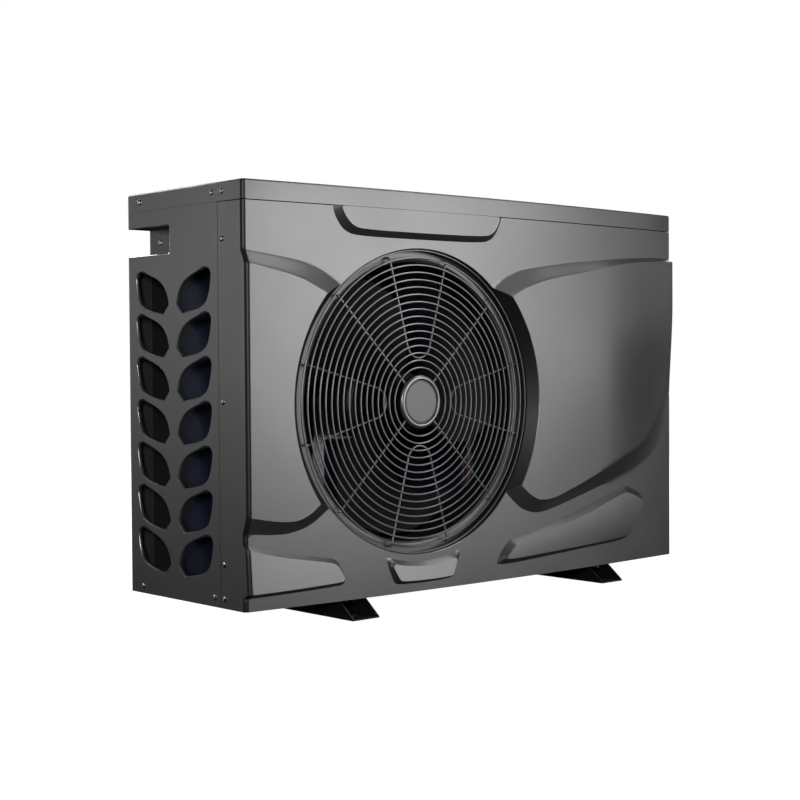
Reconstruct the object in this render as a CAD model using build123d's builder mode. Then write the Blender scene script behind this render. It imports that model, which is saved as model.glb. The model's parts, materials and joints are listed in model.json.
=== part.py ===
"""Side-discharge pool heat pump, made as separate pieces in one frame.

Millimetres. Origin on the floor, midway between the four foot slots. +X runs along the
front from left to right, +Y points to the rear, so the front faces -Y, and +Z is up.
"""
import os
from math import cos, radians, sin, sqrt

from build123d import *

# Cabinet
WIDTH = 1000.0  # over the side panels
DEPTH = 311.0  # rear plane to the front corners
HEIGHT = 643.0  # base pan to the top of the cover
BOW = 20.0  # the front stands this far forward at its middle
CORNER_R = 7.0  # front upright corners
FOOT_H = 30.0
LIP_H = 30.0  # turned-down edge of the top cover
SHEET = 1.2  # painted steel sheet
COVER_T = 1.5  # top cover sheet
FRONT_T = 3.0  # moulded front panel
GAP = 0.3  # between sheets that face each other
FLANGE_DEPTH = 63.0  # front panel flanges, back along each side

LEFT = -WIDTH / 2
RIGHT = WIDTH / 2
FRONT = -DEPTH / 2
REAR = DEPTH / 2
BODY_Z = FOOT_H
TOP_Z = BODY_Z + HEIGHT
SEAM_Z = TOP_Z - LIP_H
PANEL_H = SEAM_Z - BODY_Z - 0.7  # the seam under the top cover is open by 0.7
FLANGE_Y = FRONT + FLANGE_DEPTH

# Fan
FAN_X = -158.0
FAN_Z = 335.5
HOLE_R = 247.0
HOLE_FLARE_R = 262.0  # where the hole opens out through the raised wings
BELL_R = 225.0  # bell mouth bore
BELL_FLANGE_R = 256.0
BELL_FLANGE_T = 2.0
BELL_BACK_Y = -98.0
FAN_TIP_R = 217.0
FAN_MID_Y = -105.0
HUB_R = 48.0
SHAFT_R = 5.0
RUNNING = 0.05  # radial clearance of a running fit

# Fan guard
GUARD_Y = -168.5
RING_COUNT = 17
RING_PITCH = 11.79
FIRST_RING_R = 55.35
RING_WIRE_R = 1.5
SPOKE_WIRE_R = 1.75
WELD_GAP = 0.02
SPOKE_Y = GUARD_Y + RING_WIRE_R + SPOKE_WIRE_R + WELD_GAP
SPOKE_IN_R = 43.5  # rim of the hub plate
SPOKE_OUT_R = 238.0
HAIRPIN_IN_R = 71.0
HAIRPIN_ANGLE = 15.0  # each leg from the middle of its hairpin

# Evaporator, an L in plan
COIL_T = 44.0
COIL_LEFT = LEFT + 44.0
COIL_FRONT = -80.0
COIL_REAR = 142.0
COIL_RIGHT = 190.0
COIL_Z = 38.0
COIL_TOP = 636.0
TUBE_PITCH = 25.4
TUBE_R = 4.5

# Water side
PORT_Y = 75.0
INLET_Z = 112.0
OUTLET_Z = 412.0
SHELL_X = 410.0
SHELL_R = 55.0
SHELL_T = 4.0
SHELL_Z = 60.0
SHELL_TOP = 460.0
SOCKET_R = 25.1  # takes a 50 mm water pipe
SOCKET_L = 31.0

# Refrigerant side
COMPRESSOR_X = 265.0
COMPRESSOR_Y = -30.0
COMPRESSOR_R = 60.0
COMPRESSOR_Z = 52.0
COMPRESSOR_TOP = 330.0
ACCUMULATOR_X = 362.0
ACCUMULATOR_R = 27.0
PIPE_R = 5.0

# Feet
FOOT_X = 292.0
FOOT_W = 54.0
FOOT_LENGTH = 375.0
FOOT_T = 2.5
SLOT_W = 12.0
SLOT_L = 20.0
SLOT_Y = DEPTH / 2

# Screws
SCREW_R = 2.0
SCREW_HEAD_R = 4.6
SCREW_HEAD_H = 2.2
SCREW_L = 9.0

CENTRED_UP = (Align.CENTER, Align.CENTER, Align.MIN)
CENTRED_DOWN = (Align.CENTER, Align.CENTER, Align.MAX)

# Section plane through the fan axis: local x is the radius and local y is the depth Y.
FAN_SECTION = Plane(origin=(FAN_X, 0, FAN_Z), x_dir=(1, 0, 0), z_dir=(0, 0, 1))
FAN_AXIS = Axis((FAN_X, 0, FAN_Z), (0, 1, 0))


def fan_face(y):
    """Plane across the fan axis at depth y, facing the front."""
    return Plane(origin=(FAN_X, y, FAN_Z), x_dir=(1, 0, 0), z_dir=(0, -1, 0))


def upright_section(x, y):
    """Section plane of an upright turned piece: local x is the radius, local y is the height."""
    return Plane(origin=(x, y, 0), x_dir=(1, 0, 0), z_dir=(0, -1, 0))


def port_section(z):
    """Section plane of a water port: local x runs along the port and local y is the radius."""
    return Plane(origin=(0, PORT_Y, z), x_dir=(1, 0, 0), z_dir=(0, -1, 0))


def side_x(side, depth):
    """X of a place that is depth inside the left (-1) or right (+1) side of the cabinet."""
    return side * (WIDTH / 2 - depth)


def bowed_plan(inset, rear, proud=0.0, corner=CORNER_R):
    """Plan outline of the cabinet with its bowed front, inset all round."""
    front = FRONT + inset - proud
    with BuildSketch(mode=Mode.PRIVATE) as plan:
        with BuildLine():
            left = Line((LEFT + inset, rear), (LEFT + inset, front))
            bow = ThreePointArc(left @ 1, (0, front - BOW), (RIGHT - inset, front))
            right = Line(bow @ 1, (RIGHT - inset, rear))
            Line(right @ 1, left @ 0)
        make_face()
        fillet(plan.vertices().group_by(Axis.Y)[0], corner)
    return plan.sketch


# Outlines of the raised areas of the front panel, X and Z in the part frame.
LEFT_WING = [
    (-505, 559), (-453, 552), (-408, 541), (-373, 535), (-339, 515),
    (FAN_X, FAN_Z), (-352, 165), (-396, 153), (-430, 152), (-505, 157),
]
RIGHT_WING = [
    (FAN_X, FAN_Z), (40, 521), (66, 537), (98, 546), (203, 562), (304, 577), (392, 585),
    (476, 588), (505, 588), (505, 387), (490, 360), (470, 290), (438, 250), (399, 226),
    (334, 205), (222, 172), (137, 151), (108, 149), (80, 155), (50, 178),
]
TOP_TAB = [(-338, 643), (-310, 618), (-289, 597), (-25, 597), (-4, 618), (24, 643)]
BOTTOM_TAB = [(-235, 85), (-217, 45), (-96, 45), (-78, 85), (-157, 77)]
RIGHT_WEDGE = [
    (14.7, 53), (228, 65), (348, 71), (386, 95), (409, 131), (401, 149), (355, 169),
    (302, 157), (228, 136), (119, 112), (35.5, 97), (8, 62),
]
LEFT_WEDGE = [(-505, 133), (-491, 126), (-437, 111), (-355, 98), (-318, 64), (-325, 55), (-505, 51)]
WING_PROUD = 11.0
TAB_PROUD = 8.0
WEDGE_PROUD = 9.0
RAISED_AREAS = [
    (LEFT_WING, WING_PROUD), (RIGHT_WING, WING_PROUD), (TOP_TAB, TAB_PROUD),
    (BOTTOM_TAB, TAB_PROUD), (RIGHT_WEDGE, WEDGE_PROUD), (LEFT_WEDGE, WEDGE_PROUD),
]


def raised_block(outline, proud, shrink=0.0):
    """Block under one raised area, its face following the bow, made smaller for its hollow."""
    with BuildPart(mode=Mode.PRIVATE) as block:
        with BuildSketch(Plane.XZ.offset(-FRONT - 2 * FRONT_T)):
            with BuildLine():
                Polyline(*outline, close=True)
            make_face()
            if shrink:
                offset(amount=-shrink, kind=Kind.INTERSECTION)
        extrude(amount=BOW + proud + 3 * FRONT_T)
        with BuildSketch(Plane.XY.offset(BODY_Z + shrink)):
            add(bowed_plan(shrink, FLANGE_Y, proud))
        extrude(amount=PANEL_H - 2 * shrink, mode=Mode.INTERSECT)
    return block.part


# Leaf-shaped air openings of the left side panel: depth from the front corner, height above a tip.
# A curve from the tip round to the heel, closed by a straight cut between two sharp corners.
LEAF = [
    (159, 1), (120, 7.5), (98, 16), (89, 28), (84, 44), (82, 62), (90, 70.5), (120, 65.5),
    (153, 52.5), (169, 36), (176, 17),
]
LEAF_ROWS = 7
LEAF_PITCH = 68.2
LEAF_FIRST_Z = BODY_Z + 36.5
LEAF_MIRROR = 186.0  # the rear column mirrors the front one about this depth

# Handle notch and its recess box, the same on both sides
NOTCH_Y = FRONT + 192.0
NOTCH_Z = BODY_Z + 541.0
NOTCH_H = 47.0
RECESS_DEPTH = 42.0


def leaf_outline(row, mirrored):
    """Points of one leaf opening in Y and Z."""
    base = LEAF_FIRST_Z + row * LEAF_PITCH
    depths = [(2 * LEAF_MIRROR - y if mirrored else y, z) for y, z in LEAF]
    return [(FRONT + y, base + z) for y, z in depths]


def screw_planes():
    """Every cabinet screw: a plane on the outer surface, its normal pointing out."""
    places = []
    for side in (-1, 1):
        out = (side, 0, 0)
        flange = [(FRONT + 52, BODY_Z + z) for z in (15, 67, 312, 557)]
        lower = [(FRONT + 78, BODY_Z + 15), (FRONT + 277, BODY_Z + 12)]
        lip = [(FRONT + y, BODY_Z + 628) for y in (52, 79, 277)]
        places += [((side_x(side, 0), y, z), out) for y, z in flange + lower + lip]
        places.append(((side_x(side, RECESS_DEPTH - SHEET), FRONT + 280, BODY_Z + 566), out))
    for x in (-430.0, 200.0, 270.0, 430.0):
        places += [((x, REAR, z), (0, 1, 0)) for z in (BODY_Z + 12, SEAM_Z - 12)]
    return [Plane(origin=place, z_dir=out) for place, out in places]


SCREWS = screw_planes()


def make_base_pan():
    inset = 5.0
    rim = 20.0
    with BuildPart() as base_pan:
        with BuildSketch(Plane.XY.offset(BODY_Z)):
            add(bowed_plan(inset, REAR - inset))
        extrude(amount=rim)
        with BuildSketch(Plane.XY.offset(BODY_Z + SHEET)):
            add(bowed_plan(inset + SHEET, REAR - inset - SHEET, corner=CORNER_R - SHEET))
        extrude(amount=rim, mode=Mode.SUBTRACT)
        with Locations((DRAIN_X, DRAIN_Y, BODY_Z)):
            Cylinder(DRAIN_R, 2 * SHEET, mode=Mode.SUBTRACT)
        with Locations(*foot_bolt_places(BODY_Z)):
            Cylinder(FOOT_BOLT_R, 4 * SHEET, mode=Mode.SUBTRACT)
        with Locations(*compressor_stud_places(BODY_Z)):
            Cylinder(STUD_R, 4 * SHEET, mode=Mode.SUBTRACT)
        with Locations(*SCREWS):
            Cylinder(SCREW_R, 2 * SCREW_L, mode=Mode.SUBTRACT)
    base_pan.part.label = "base_pan"
    export_step(base_pan.part, "parts/base_pan.step")


DRAIN_X = -120.0
DRAIN_Y = 70.0
DRAIN_R = 12.0
FOOT_BOLT_R = 4.0
FOOT_BOLT_Y = 135.0
FOOT_FLANGE_W = 14.0
STUD_R = 4.0
STUD_CIRCLE_R = 82.0


def foot_bolt_places(z):
    """Bolts that hold the feet under the base pan, through the feet's top flanges."""
    flange_mid = FOOT_W / 2 - FOOT_FLANGE_W / 2 - 1
    return [
        (side * FOOT_X + edge * flange_mid, y, z)
        for side in (-1, 1) for edge in (-1, 1) for y in (-FOOT_BOLT_Y, FOOT_BOLT_Y)
    ]


def compressor_stud_places(z):
    """Three studs round the compressor."""
    return [
        (COMPRESSOR_X + STUD_CIRCLE_R * cos(radians(a)), COMPRESSOR_Y + STUD_CIRCLE_R * sin(radians(a)), z)
        for a in (30, 150, 270)
    ]


def make_foot(side, name):
    """U channel with its web on the floor, walls cut back on a slope at both ends."""
    half = FOOT_LENGTH / 2
    slope_y = 35.0
    wall_top = BODY_Z
    with BuildPart() as foot:
        for edge in (-1, 1):
            wall_x = side * FOOT_X + edge * (FOOT_W / 2 - FOOT_T / 2) - FOOT_T / 2
            with BuildSketch(Plane.YZ.offset(wall_x)):
                with BuildLine():
                    Polyline(
                        (-half, 0), (-half, FOOT_T), (-half + slope_y, wall_top),
                        (half - slope_y, wall_top), (half, FOOT_T), (half, 0), close=True,
                    )
                make_face()
            extrude(amount=FOOT_T)
            flange_x = side * FOOT_X + edge * (FOOT_W / 2 - FOOT_FLANGE_W / 2)
            with Locations((flange_x, 0, wall_top)):
                Box(FOOT_FLANGE_W, FOOT_LENGTH - 2 * slope_y - 10, FOOT_T, align=CENTRED_DOWN)
        with Locations((side * FOOT_X, 0, 0)):
            Box(FOOT_W, FOOT_LENGTH, FOOT_T, align=CENTRED_UP)
        with BuildSketch(Plane.XY):
            with Locations((side * FOOT_X, -SLOT_Y), (side * FOOT_X, SLOT_Y)):
                SlotOverall(SLOT_L, SLOT_W)
        extrude(amount=FOOT_T, mode=Mode.SUBTRACT)
        with Locations(*foot_bolt_places(wall_top)):
            Cylinder(FOOT_BOLT_R, 3 * FOOT_T, mode=Mode.SUBTRACT)
    foot.part.label = name
    export_step(foot.part, f"parts/{name}.step")


def make_foot_bolts():
    with BuildPart() as foot_bolts:
        with Locations(*foot_bolt_places(BODY_Z + SHEET)):
            Cylinder(FOOT_BOLT_R, SHEET + FOOT_T + 8, align=CENTRED_DOWN)
            Cylinder(2 * FOOT_BOLT_R - 1, 5, align=CENTRED_UP)
    foot_bolts.part.label = "foot_bolts"
    export_step(foot_bolts.part, "parts/foot_bolts.step")


def make_front_panel():
    """Bowed moulding that wraps both front corners, with hollow raised areas and the fan hole."""
    collar_t = 3.0
    collar_back = FRONT - GAP
    with BuildPart() as front_panel:
        with BuildSketch(Plane.XY.offset(BODY_Z)):
            add(bowed_plan(0, FLANGE_Y))
        extrude(amount=PANEL_H)
        for outline, proud in RAISED_AREAS:
            add(raised_block(outline, proud))
        with BuildSketch(Plane.XY.offset(BODY_Z)):
            add(bowed_plan(FRONT_T, FLANGE_Y, corner=CORNER_R - FRONT_T))
        extrude(amount=PANEL_H, mode=Mode.SUBTRACT)
        for outline, proud in RAISED_AREAS:
            add(raised_block(outline, proud - FRONT_T, shrink=FRONT_T), mode=Mode.SUBTRACT)
        with BuildSketch(fan_face(collar_back)):
            Circle(HOLE_R + collar_t)
        extrude(amount=BOW - 2 * GAP - FRONT_T)
        with BuildSketch(fan_face(collar_back)):
            Circle(HOLE_R)
        extrude(amount=3 * BOW, mode=Mode.SUBTRACT)
        with BuildSketch(FAN_SECTION):
            with BuildLine():
                Polyline(
                    (HOLE_R, FRONT - BOW + 2), (HOLE_FLARE_R, FRONT - BOW - WING_PROUD),
                    (HOLE_FLARE_R, FRONT - 2 * BOW), (0, FRONT - 2 * BOW), (0, FRONT - BOW + 2), close=True,
                )
            make_face()
        revolve(axis=FAN_AXIS, mode=Mode.SUBTRACT)
        with Locations(*SCREWS):
            Cylinder(SCREW_R, 2 * SCREW_L, mode=Mode.SUBTRACT)
    front_panel.part.label = "front_panel"
    export_step(front_panel.part, "parts/front_panel.step")


def make_top_cover():
    edge_r = 3.0
    with BuildPart() as top_cover:
        with BuildSketch(Plane.XY.offset(SEAM_Z)):
            add(bowed_plan(0, REAR))
        extrude(amount=LIP_H)
        fillet(top_cover.edges().group_by(Axis.Z)[-1], edge_r)
        with BuildSketch(Plane.XY.offset(SEAM_Z)):
            add(bowed_plan(COVER_T, REAR - COVER_T, corner=CORNER_R - COVER_T))
        extrude(amount=LIP_H - COVER_T, mode=Mode.SUBTRACT)
        with Locations(*SCREWS):
            Cylinder(SCREW_R, 2 * SCREW_L, mode=Mode.SUBTRACT)
    top_cover.part.label = "top_cover"
    export_step(top_cover.part, "parts/top_cover.step")


def side_sheet(side):
    """Side panel sheet with joggled edges under the front flange and the top lip."""
    front_y = FLANGE_Y + GAP
    under_flange = FRONT_T + GAP
    under_lip = COVER_T + GAP
    strip = 20.0
    lip_strip = 26.0
    top = SEAM_Z - GAP
    with BuildPart(mode=Mode.PRIVATE) as sheet:
        with BuildSketch(Plane.XY.offset(BODY_Z)):
            with BuildLine():
                Polyline(
                    (side_x(side, 0), front_y), (side_x(side, 0), REAR),
                    (side_x(side, RECESS_DEPTH), REAR), (side_x(side, RECESS_DEPTH), REAR - SHEET),
                    (side_x(side, SHEET), REAR - SHEET), (side_x(side, SHEET), front_y + SHEET),
                    (side_x(side, under_flange + SHEET), front_y + SHEET),
                    (side_x(side, under_flange + SHEET), front_y - strip),
                    (side_x(side, under_flange), front_y - strip),
                    (side_x(side, under_flange), front_y), close=True,
                )
            make_face()
        extrude(amount=top - BODY_Z)
        with Locations((side_x(side, under_lip + SHEET / 2), (front_y + REAR) / 2, top - SHEET)):
            Box(SHEET, REAR - front_y - 20, lip_strip, align=CENTRED_UP)
        with Locations((side_x(side, (under_lip + SHEET) / 2), (front_y + REAR) / 2, top - SHEET)):
            Box(under_lip + SHEET, REAR - front_y - 20, SHEET, align=CENTRED_UP)
        notch_l = REAR - NOTCH_Y
        with Locations((side_x(side, 0), NOTCH_Y, NOTCH_Z)):
            Box(3 * RECESS_DEPTH, 2 * notch_l, NOTCH_H, align=(Align.CENTER, Align.MIN, Align.MIN),
                mode=Mode.SUBTRACT)
        with Locations(*SCREWS):
            Cylinder(SCREW_R, 2 * SCREW_L, mode=Mode.SUBTRACT)
    return sheet.part


def make_left_side_panel():
    with BuildPart() as left_side_panel:
        add(side_sheet(-1))
        with BuildSketch(Plane.YZ.offset(LEFT - 1)):
            for row in range(LEAF_ROWS):
                for mirrored in (False, True):
                    with BuildLine():
                        curve = Spline(*leaf_outline(row, mirrored))
                        Line(curve @ 1, curve @ 0)
                    make_face()
        extrude(amount=SHEET + 2, mode=Mode.SUBTRACT)
    left_side_panel.part.label = "left_side_panel"
    export_step(left_side_panel.part, "parts/left_side_panel.step")


ACCESS_Y = -40.0
ACCESS_Z = 515.0
ACCESS_W = 84.0
ACCESS_H = 110.0
GLAND_PLACES = [(-62.0, 430.0), (-28.0, 430.0)]
GLAND_R = 9.0
GAUGE_Y = -40.0
GAUGE_Z = 340.0
GAUGE_R = 26.0
PORT_HOLE_R = 34.0


def access_screw_planes():
    """The two screws of the access cover."""
    places = [(RIGHT + SHEET, ACCESS_Y, ACCESS_Z + k * (ACCESS_H / 2 - 8)) for k in (-1, 1)]
    return [Plane(origin=place, z_dir=(1, 0, 0)) for place in places]


def make_right_side_panel():
    inside = Plane.YZ.offset(RIGHT - 2 * SHEET)
    with BuildPart() as right_side_panel:
        add(side_sheet(1))
        with BuildSketch(inside):
            with Locations((PORT_Y, INLET_Z), (PORT_Y, OUTLET_Z)):
                Circle(PORT_HOLE_R)
            with Locations(*GLAND_PLACES):
                Circle(GLAND_R)
            with Locations((GAUGE_Y, GAUGE_Z)):
                Circle(GAUGE_R)
            with Locations((ACCESS_Y, ACCESS_Z)):
                Rectangle(ACCESS_W - 24, ACCESS_H - 32)
        extrude(amount=4 * SHEET, mode=Mode.SUBTRACT)
        with Locations(*access_screw_planes()):
            Cylinder(SCREW_R, 2 * SCREW_L, mode=Mode.SUBTRACT)
    right_side_panel.part.label = "right_side_panel"
    export_step(right_side_panel.part, "parts/right_side_panel.step")


def make_access_cover():
    with BuildPart() as access_cover:
        with BuildSketch(Plane.YZ.offset(RIGHT)):
            with Locations((ACCESS_Y, ACCESS_Z)):
                RectangleRounded(ACCESS_W, ACCESS_H, 6)
        extrude(amount=SHEET)
        with Locations(*access_screw_planes()):
            Cylinder(SCREW_R, 2 * SCREW_L, mode=Mode.SUBTRACT)
    access_cover.part.label = "access_cover"
    export_step(access_cover.part, "parts/access_cover.step")


def make_handle_recess(side, name):
    """Finger box behind the notch, open to the side and to the rear."""
    outer_x = side_x(side, SHEET + 0.1)
    inner_x = side_x(side, RECESS_DEPTH)
    rear = REAR
    with BuildPart() as recess:
        with BuildSketch(Plane.XY.offset(NOTCH_Z)):
            with BuildLine():
                Polyline(
                    (outer_x, NOTCH_Y), (outer_x, rear), (inner_x, rear), (inner_x, NOTCH_Y), close=True,
                )
            make_face()
        extrude(amount=NOTCH_H)
        with BuildSketch(Plane.XY.offset(NOTCH_Z + SHEET)):
            with BuildLine():
                Polyline(
                    (outer_x + side, NOTCH_Y + SHEET), (outer_x + side, rear + 1),
                    (inner_x + side * SHEET, rear + 1), (inner_x + side * SHEET, NOTCH_Y + SHEET),
                    close=True,
                )
            make_face()
        extrude(amount=NOTCH_H - 2 * SHEET, mode=Mode.SUBTRACT)
        with Locations(*SCREWS):
            Cylinder(SCREW_R, 2 * SCREW_L, mode=Mode.SUBTRACT)
    recess.part.label = name
    export_step(recess.part, f"parts/{name}.step")


REAR_SPLIT_X = 240.0


def make_rear_grille():
    """Pressed rear guard over the evaporator, plain at its left end behind the coil's bend."""
    left = LEFT + RECESS_DEPTH + GAP
    width = REAR_SPLIT_X - left
    plain = 42.0
    columns = 12
    rows = 15
    cell_x = 42.0
    cell_z = 28.0
    mid_z = (BODY_Z + SEAM_Z) / 2
    with BuildPart() as rear_grille:
        with BuildSketch(Plane.XZ.offset(-REAR)):
            with Locations(((left + REAR_SPLIT_X) / 2, mid_z)):
                Rectangle(width, PANEL_H)
            with Locations(((left + plain + REAR_SPLIT_X) / 2, mid_z)):
                with GridLocations((width - plain) / (columns + 0.4), (PANEL_H - 60) / rows, columns, rows):
                    RectangleRounded(cell_x, cell_z, 5, mode=Mode.SUBTRACT)
        extrude(amount=SHEET)
        with Locations(*SCREWS):
            Cylinder(SCREW_R, 2 * SCREW_L, mode=Mode.SUBTRACT)
    rear_grille.part.label = "rear_grille"
    export_step(rear_grille.part, "parts/rear_grille.step")


def make_rear_panel():
    left = REAR_SPLIT_X + GAP
    right = RIGHT - RECESS_DEPTH - GAP
    with BuildPart() as rear_panel:
        with Locations(((left + right) / 2, REAR - SHEET / 2, (BODY_Z + SEAM_Z) / 2)):
            Box(right - left, SHEET, PANEL_H)
        with Locations(*SCREWS):
            Cylinder(SCREW_R, 2 * SCREW_L, mode=Mode.SUBTRACT)
    rear_panel.part.label = "rear_panel"
    export_step(rear_panel.part, "parts/rear_panel.step")


def make_cabinet_screws():
    """Pan-head screws of the cabinet, all alike."""
    with BuildPart() as cabinet_screws:
        with Locations(*SCREWS, *access_screw_planes()):
            Cylinder(SCREW_HEAD_R, SCREW_HEAD_H, align=CENTRED_UP)
            Cylinder(SCREW_R, SCREW_L, align=CENTRED_DOWN)
        fillet(cabinet_screws.edges().filter_by(lambda e: is_head_rim(e)), 1.0)
    cabinet_screws.part.label = "cabinet_screws"
    export_step(cabinet_screws.part, "parts/cabinet_screws.step")


def is_head_rim(edge):
    """True for the outer circle of a screw head that is away from the sheet."""
    if edge.geom_type != GeomType.CIRCLE or abs(edge.radius - SCREW_HEAD_R) > 0.01:
        return False
    middle = edge.arc_center
    planes = SCREWS + access_screw_planes()
    heights = [plane.to_local_coords(middle).Z for plane in planes]
    return any(abs(h - SCREW_HEAD_H) < 0.01 for h in heights)


def make_guard_rings():
    """Ring wires of the fan guard."""
    with BuildPart() as guard_rings:
        for ring in range(RING_COUNT):
            with BuildSketch(FAN_SECTION):
                with Locations((FIRST_RING_R + ring * RING_PITCH, GUARD_Y)):
                    Circle(RING_WIRE_R)
            revolve(axis=FAN_AXIS)
    guard_rings.part.label = "guard_rings"
    export_step(guard_rings.part, "parts/guard_rings.step")


def spoke_point(radius, angle, y=SPOKE_Y):
    """Point at a radius and an angle from +X about the fan axis, by default on the spoke plane."""
    return (FAN_X + radius * cos(radians(angle)), y, FAN_Z + radius * sin(radians(angle)))


def wire_along(points, bends):
    """Round spoke wire along straight runs, with one bend radius for each corner."""
    with BuildPart(mode=Mode.PRIVATE) as wire:
        with BuildLine() as route:
            FilletPolyline(*points, radius=bends)
        with BuildSketch(Plane(origin=route.wire() @ 0, z_dir=route.wire() % 0)):
            Circle(SPOKE_WIRE_R)
        sweep(path=route.wire())
    return wire.part


def make_guard_spokes():
    """Straight diagonal wires and hairpin wires behind the rings, their ends turned back to the flange."""
    elbow = 5.0
    hairpin_bend = HAIRPIN_IN_R / (1 / sin(radians(HAIRPIN_ANGLE)) - 1)
    with BuildPart() as guard_spokes:
        for angle in (45, 135, 225, 315):
            add(wire_along([
                spoke_point(SPOKE_IN_R, angle), spoke_point(SPOKE_OUT_R, angle),
                spoke_point(SPOKE_OUT_R, angle, FRONT),
            ], [elbow]))
        for middle in (0, 90, 180, 270):
            low, high = middle - HAIRPIN_ANGLE, middle + HAIRPIN_ANGLE
            add(wire_along([
                spoke_point(SPOKE_OUT_R, low, FRONT), spoke_point(SPOKE_OUT_R, low), spoke_point(0, low),
                spoke_point(SPOKE_OUT_R, high), spoke_point(SPOKE_OUT_R, high, FRONT),
            ], [elbow, hairpin_bend, elbow]))
    guard_spokes.part.label = "guard_spokes"
    export_step(guard_spokes.part, "parts/guard_spokes.step")


HUB_PLATE_BACK = SPOKE_Y + SPOKE_WIRE_R
HUB_PLATE_T = 3.5
BEZEL_OUT_R = 43.0
BEZEL_IN_R = 35.5
BEZEL_T = 5.5
BADGE_T = 4.0


def make_guard_hub():
    """Hub plate with the bright ring and the blank badge in front of it."""
    plate_front = HUB_PLATE_BACK - HUB_PLATE_T
    with BuildPart() as guard_hub_plate:
        with BuildSketch(fan_face(HUB_PLATE_BACK)):
            Circle(SPOKE_IN_R - WELD_GAP)
        extrude(amount=HUB_PLATE_T)
    guard_hub_plate.part.label = "guard_hub_plate"
    export_step(guard_hub_plate.part, "parts/guard_hub_plate.step")

    with BuildPart() as hub_ring:
        with BuildSketch(fan_face(plate_front)):
            Circle(BEZEL_OUT_R)
            Circle(BEZEL_IN_R, mode=Mode.SUBTRACT)
        extrude(amount=BEZEL_T)
        fillet(hub_ring.edges().group_by(Axis.Y)[0], 1.5)
    hub_ring.part.label = "hub_ring"
    export_step(hub_ring.part, "parts/hub_ring.step")

    with BuildPart() as hub_badge:
        with BuildSketch(fan_face(plate_front)):
            Circle(BEZEL_IN_R)
        extrude(amount=BADGE_T)
        chamfer(hub_badge.edges().group_by(Axis.Y)[0], 1.2)
    hub_badge.part.label = "hub_badge"
    export_step(hub_badge.part, "parts/hub_badge.step")


def make_bell_mouth():
    """Flange ring behind the fan hole, curling into the duct round the blade tips."""
    flange_back = FRONT + BELL_FLANGE_T
    wall = 2.0
    curl_r = 8.0
    with BuildPart() as bell_mouth:
        with BuildSketch(FAN_SECTION):
            with BuildLine():
                face = Line((BELL_FLANGE_R, FRONT), (BELL_R + curl_r, FRONT))
                curl = TangentArc(face @ 1, (BELL_R, FRONT + curl_r), tangent=face % 1)
                duct = Line(curl @ 1, (BELL_R, BELL_BACK_Y))
                back = Line(duct @ 1, (BELL_R + wall, BELL_BACK_Y))
                outer = Line(back @ 1, (BELL_R + wall, FRONT + curl_r))
                inner = RadiusArc(outer @ 1, (BELL_R + curl_r, flange_back), curl_r - wall)
                rear = Line(inner @ 1, (BELL_FLANGE_R, flange_back))
                Line(rear @ 1, face @ 0)
            make_face()
        revolve(axis=FAN_AXIS)
    bell_mouth.part.label = "bell_mouth"
    export_step(bell_mouth.part, "parts/bell_mouth.step")


HUB_FRONT = -135.0
HUB_BACK = -76.0
SHAFT_FRONT = -150.0
SHAFT_BACK = -30.0
MOTOR_FRONT = -62.0
MOTOR_BACK = 15.0
MOTOR_R = 62.0


def blade_section(radius, chord, pitch):
    """Section across one blade, square to its length, turned by the blade's pitch."""
    plane = Plane(origin=(FAN_X, FAN_MID_Y, FAN_Z), x_dir=(1, 0, 0), z_dir=(0, 0, 1))
    along_chord = (cos(radians(pitch)), sin(radians(pitch)), 0)
    tip = Plane(origin=plane.from_local_coords((0, 0, radius)), x_dir=along_chord, z_dir=(0, 0, 1))
    with BuildSketch(tip, mode=Mode.PRIVATE) as section:
        SlotOverall(chord, 4.0)
    return section.sketch.faces()[0]


def make_fan():
    """Three broad twisted blades on a cupped hub."""
    blades = 3
    cup_t = 3.0
    boss_r = 14.0
    root = blade_section(HUB_R - 3, 104, 38)
    tip = blade_section(FAN_TIP_R + 4, 210, 20)
    with BuildPart(mode=Mode.PRIVATE) as blade:
        loft([root, tip])
        with BuildSketch(fan_face(HUB_BACK + 30)):
            Circle(FAN_TIP_R)
        extrude(amount=120, mode=Mode.INTERSECT)
        with BuildSketch(fan_face(HUB_BACK + 30)):
            Circle(HUB_R - cup_t / 2)
        extrude(amount=120, mode=Mode.SUBTRACT)
    with BuildPart() as fan_blade:
        with BuildSketch(FAN_SECTION):
            with BuildLine():
                Polyline(
                    (SHAFT_R, HUB_FRONT), (HUB_R - 2, HUB_FRONT), (HUB_R, HUB_FRONT + 2), (HUB_R, HUB_BACK),
                    (HUB_R - cup_t, HUB_BACK), (HUB_R - cup_t, HUB_FRONT + 4), (boss_r, HUB_FRONT + 4),
                    (boss_r, HUB_BACK - 8), (SHAFT_R, HUB_BACK - 8), close=True,
                )
            make_face()
        revolve(axis=FAN_AXIS)
        for turn in range(blades):
            add(blade.part.rotate(FAN_AXIS, turn * 360 / blades))
    fan_blade.part.label = "fan_blade"
    export_step(fan_blade.part, "parts/fan_blade.step")


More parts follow.
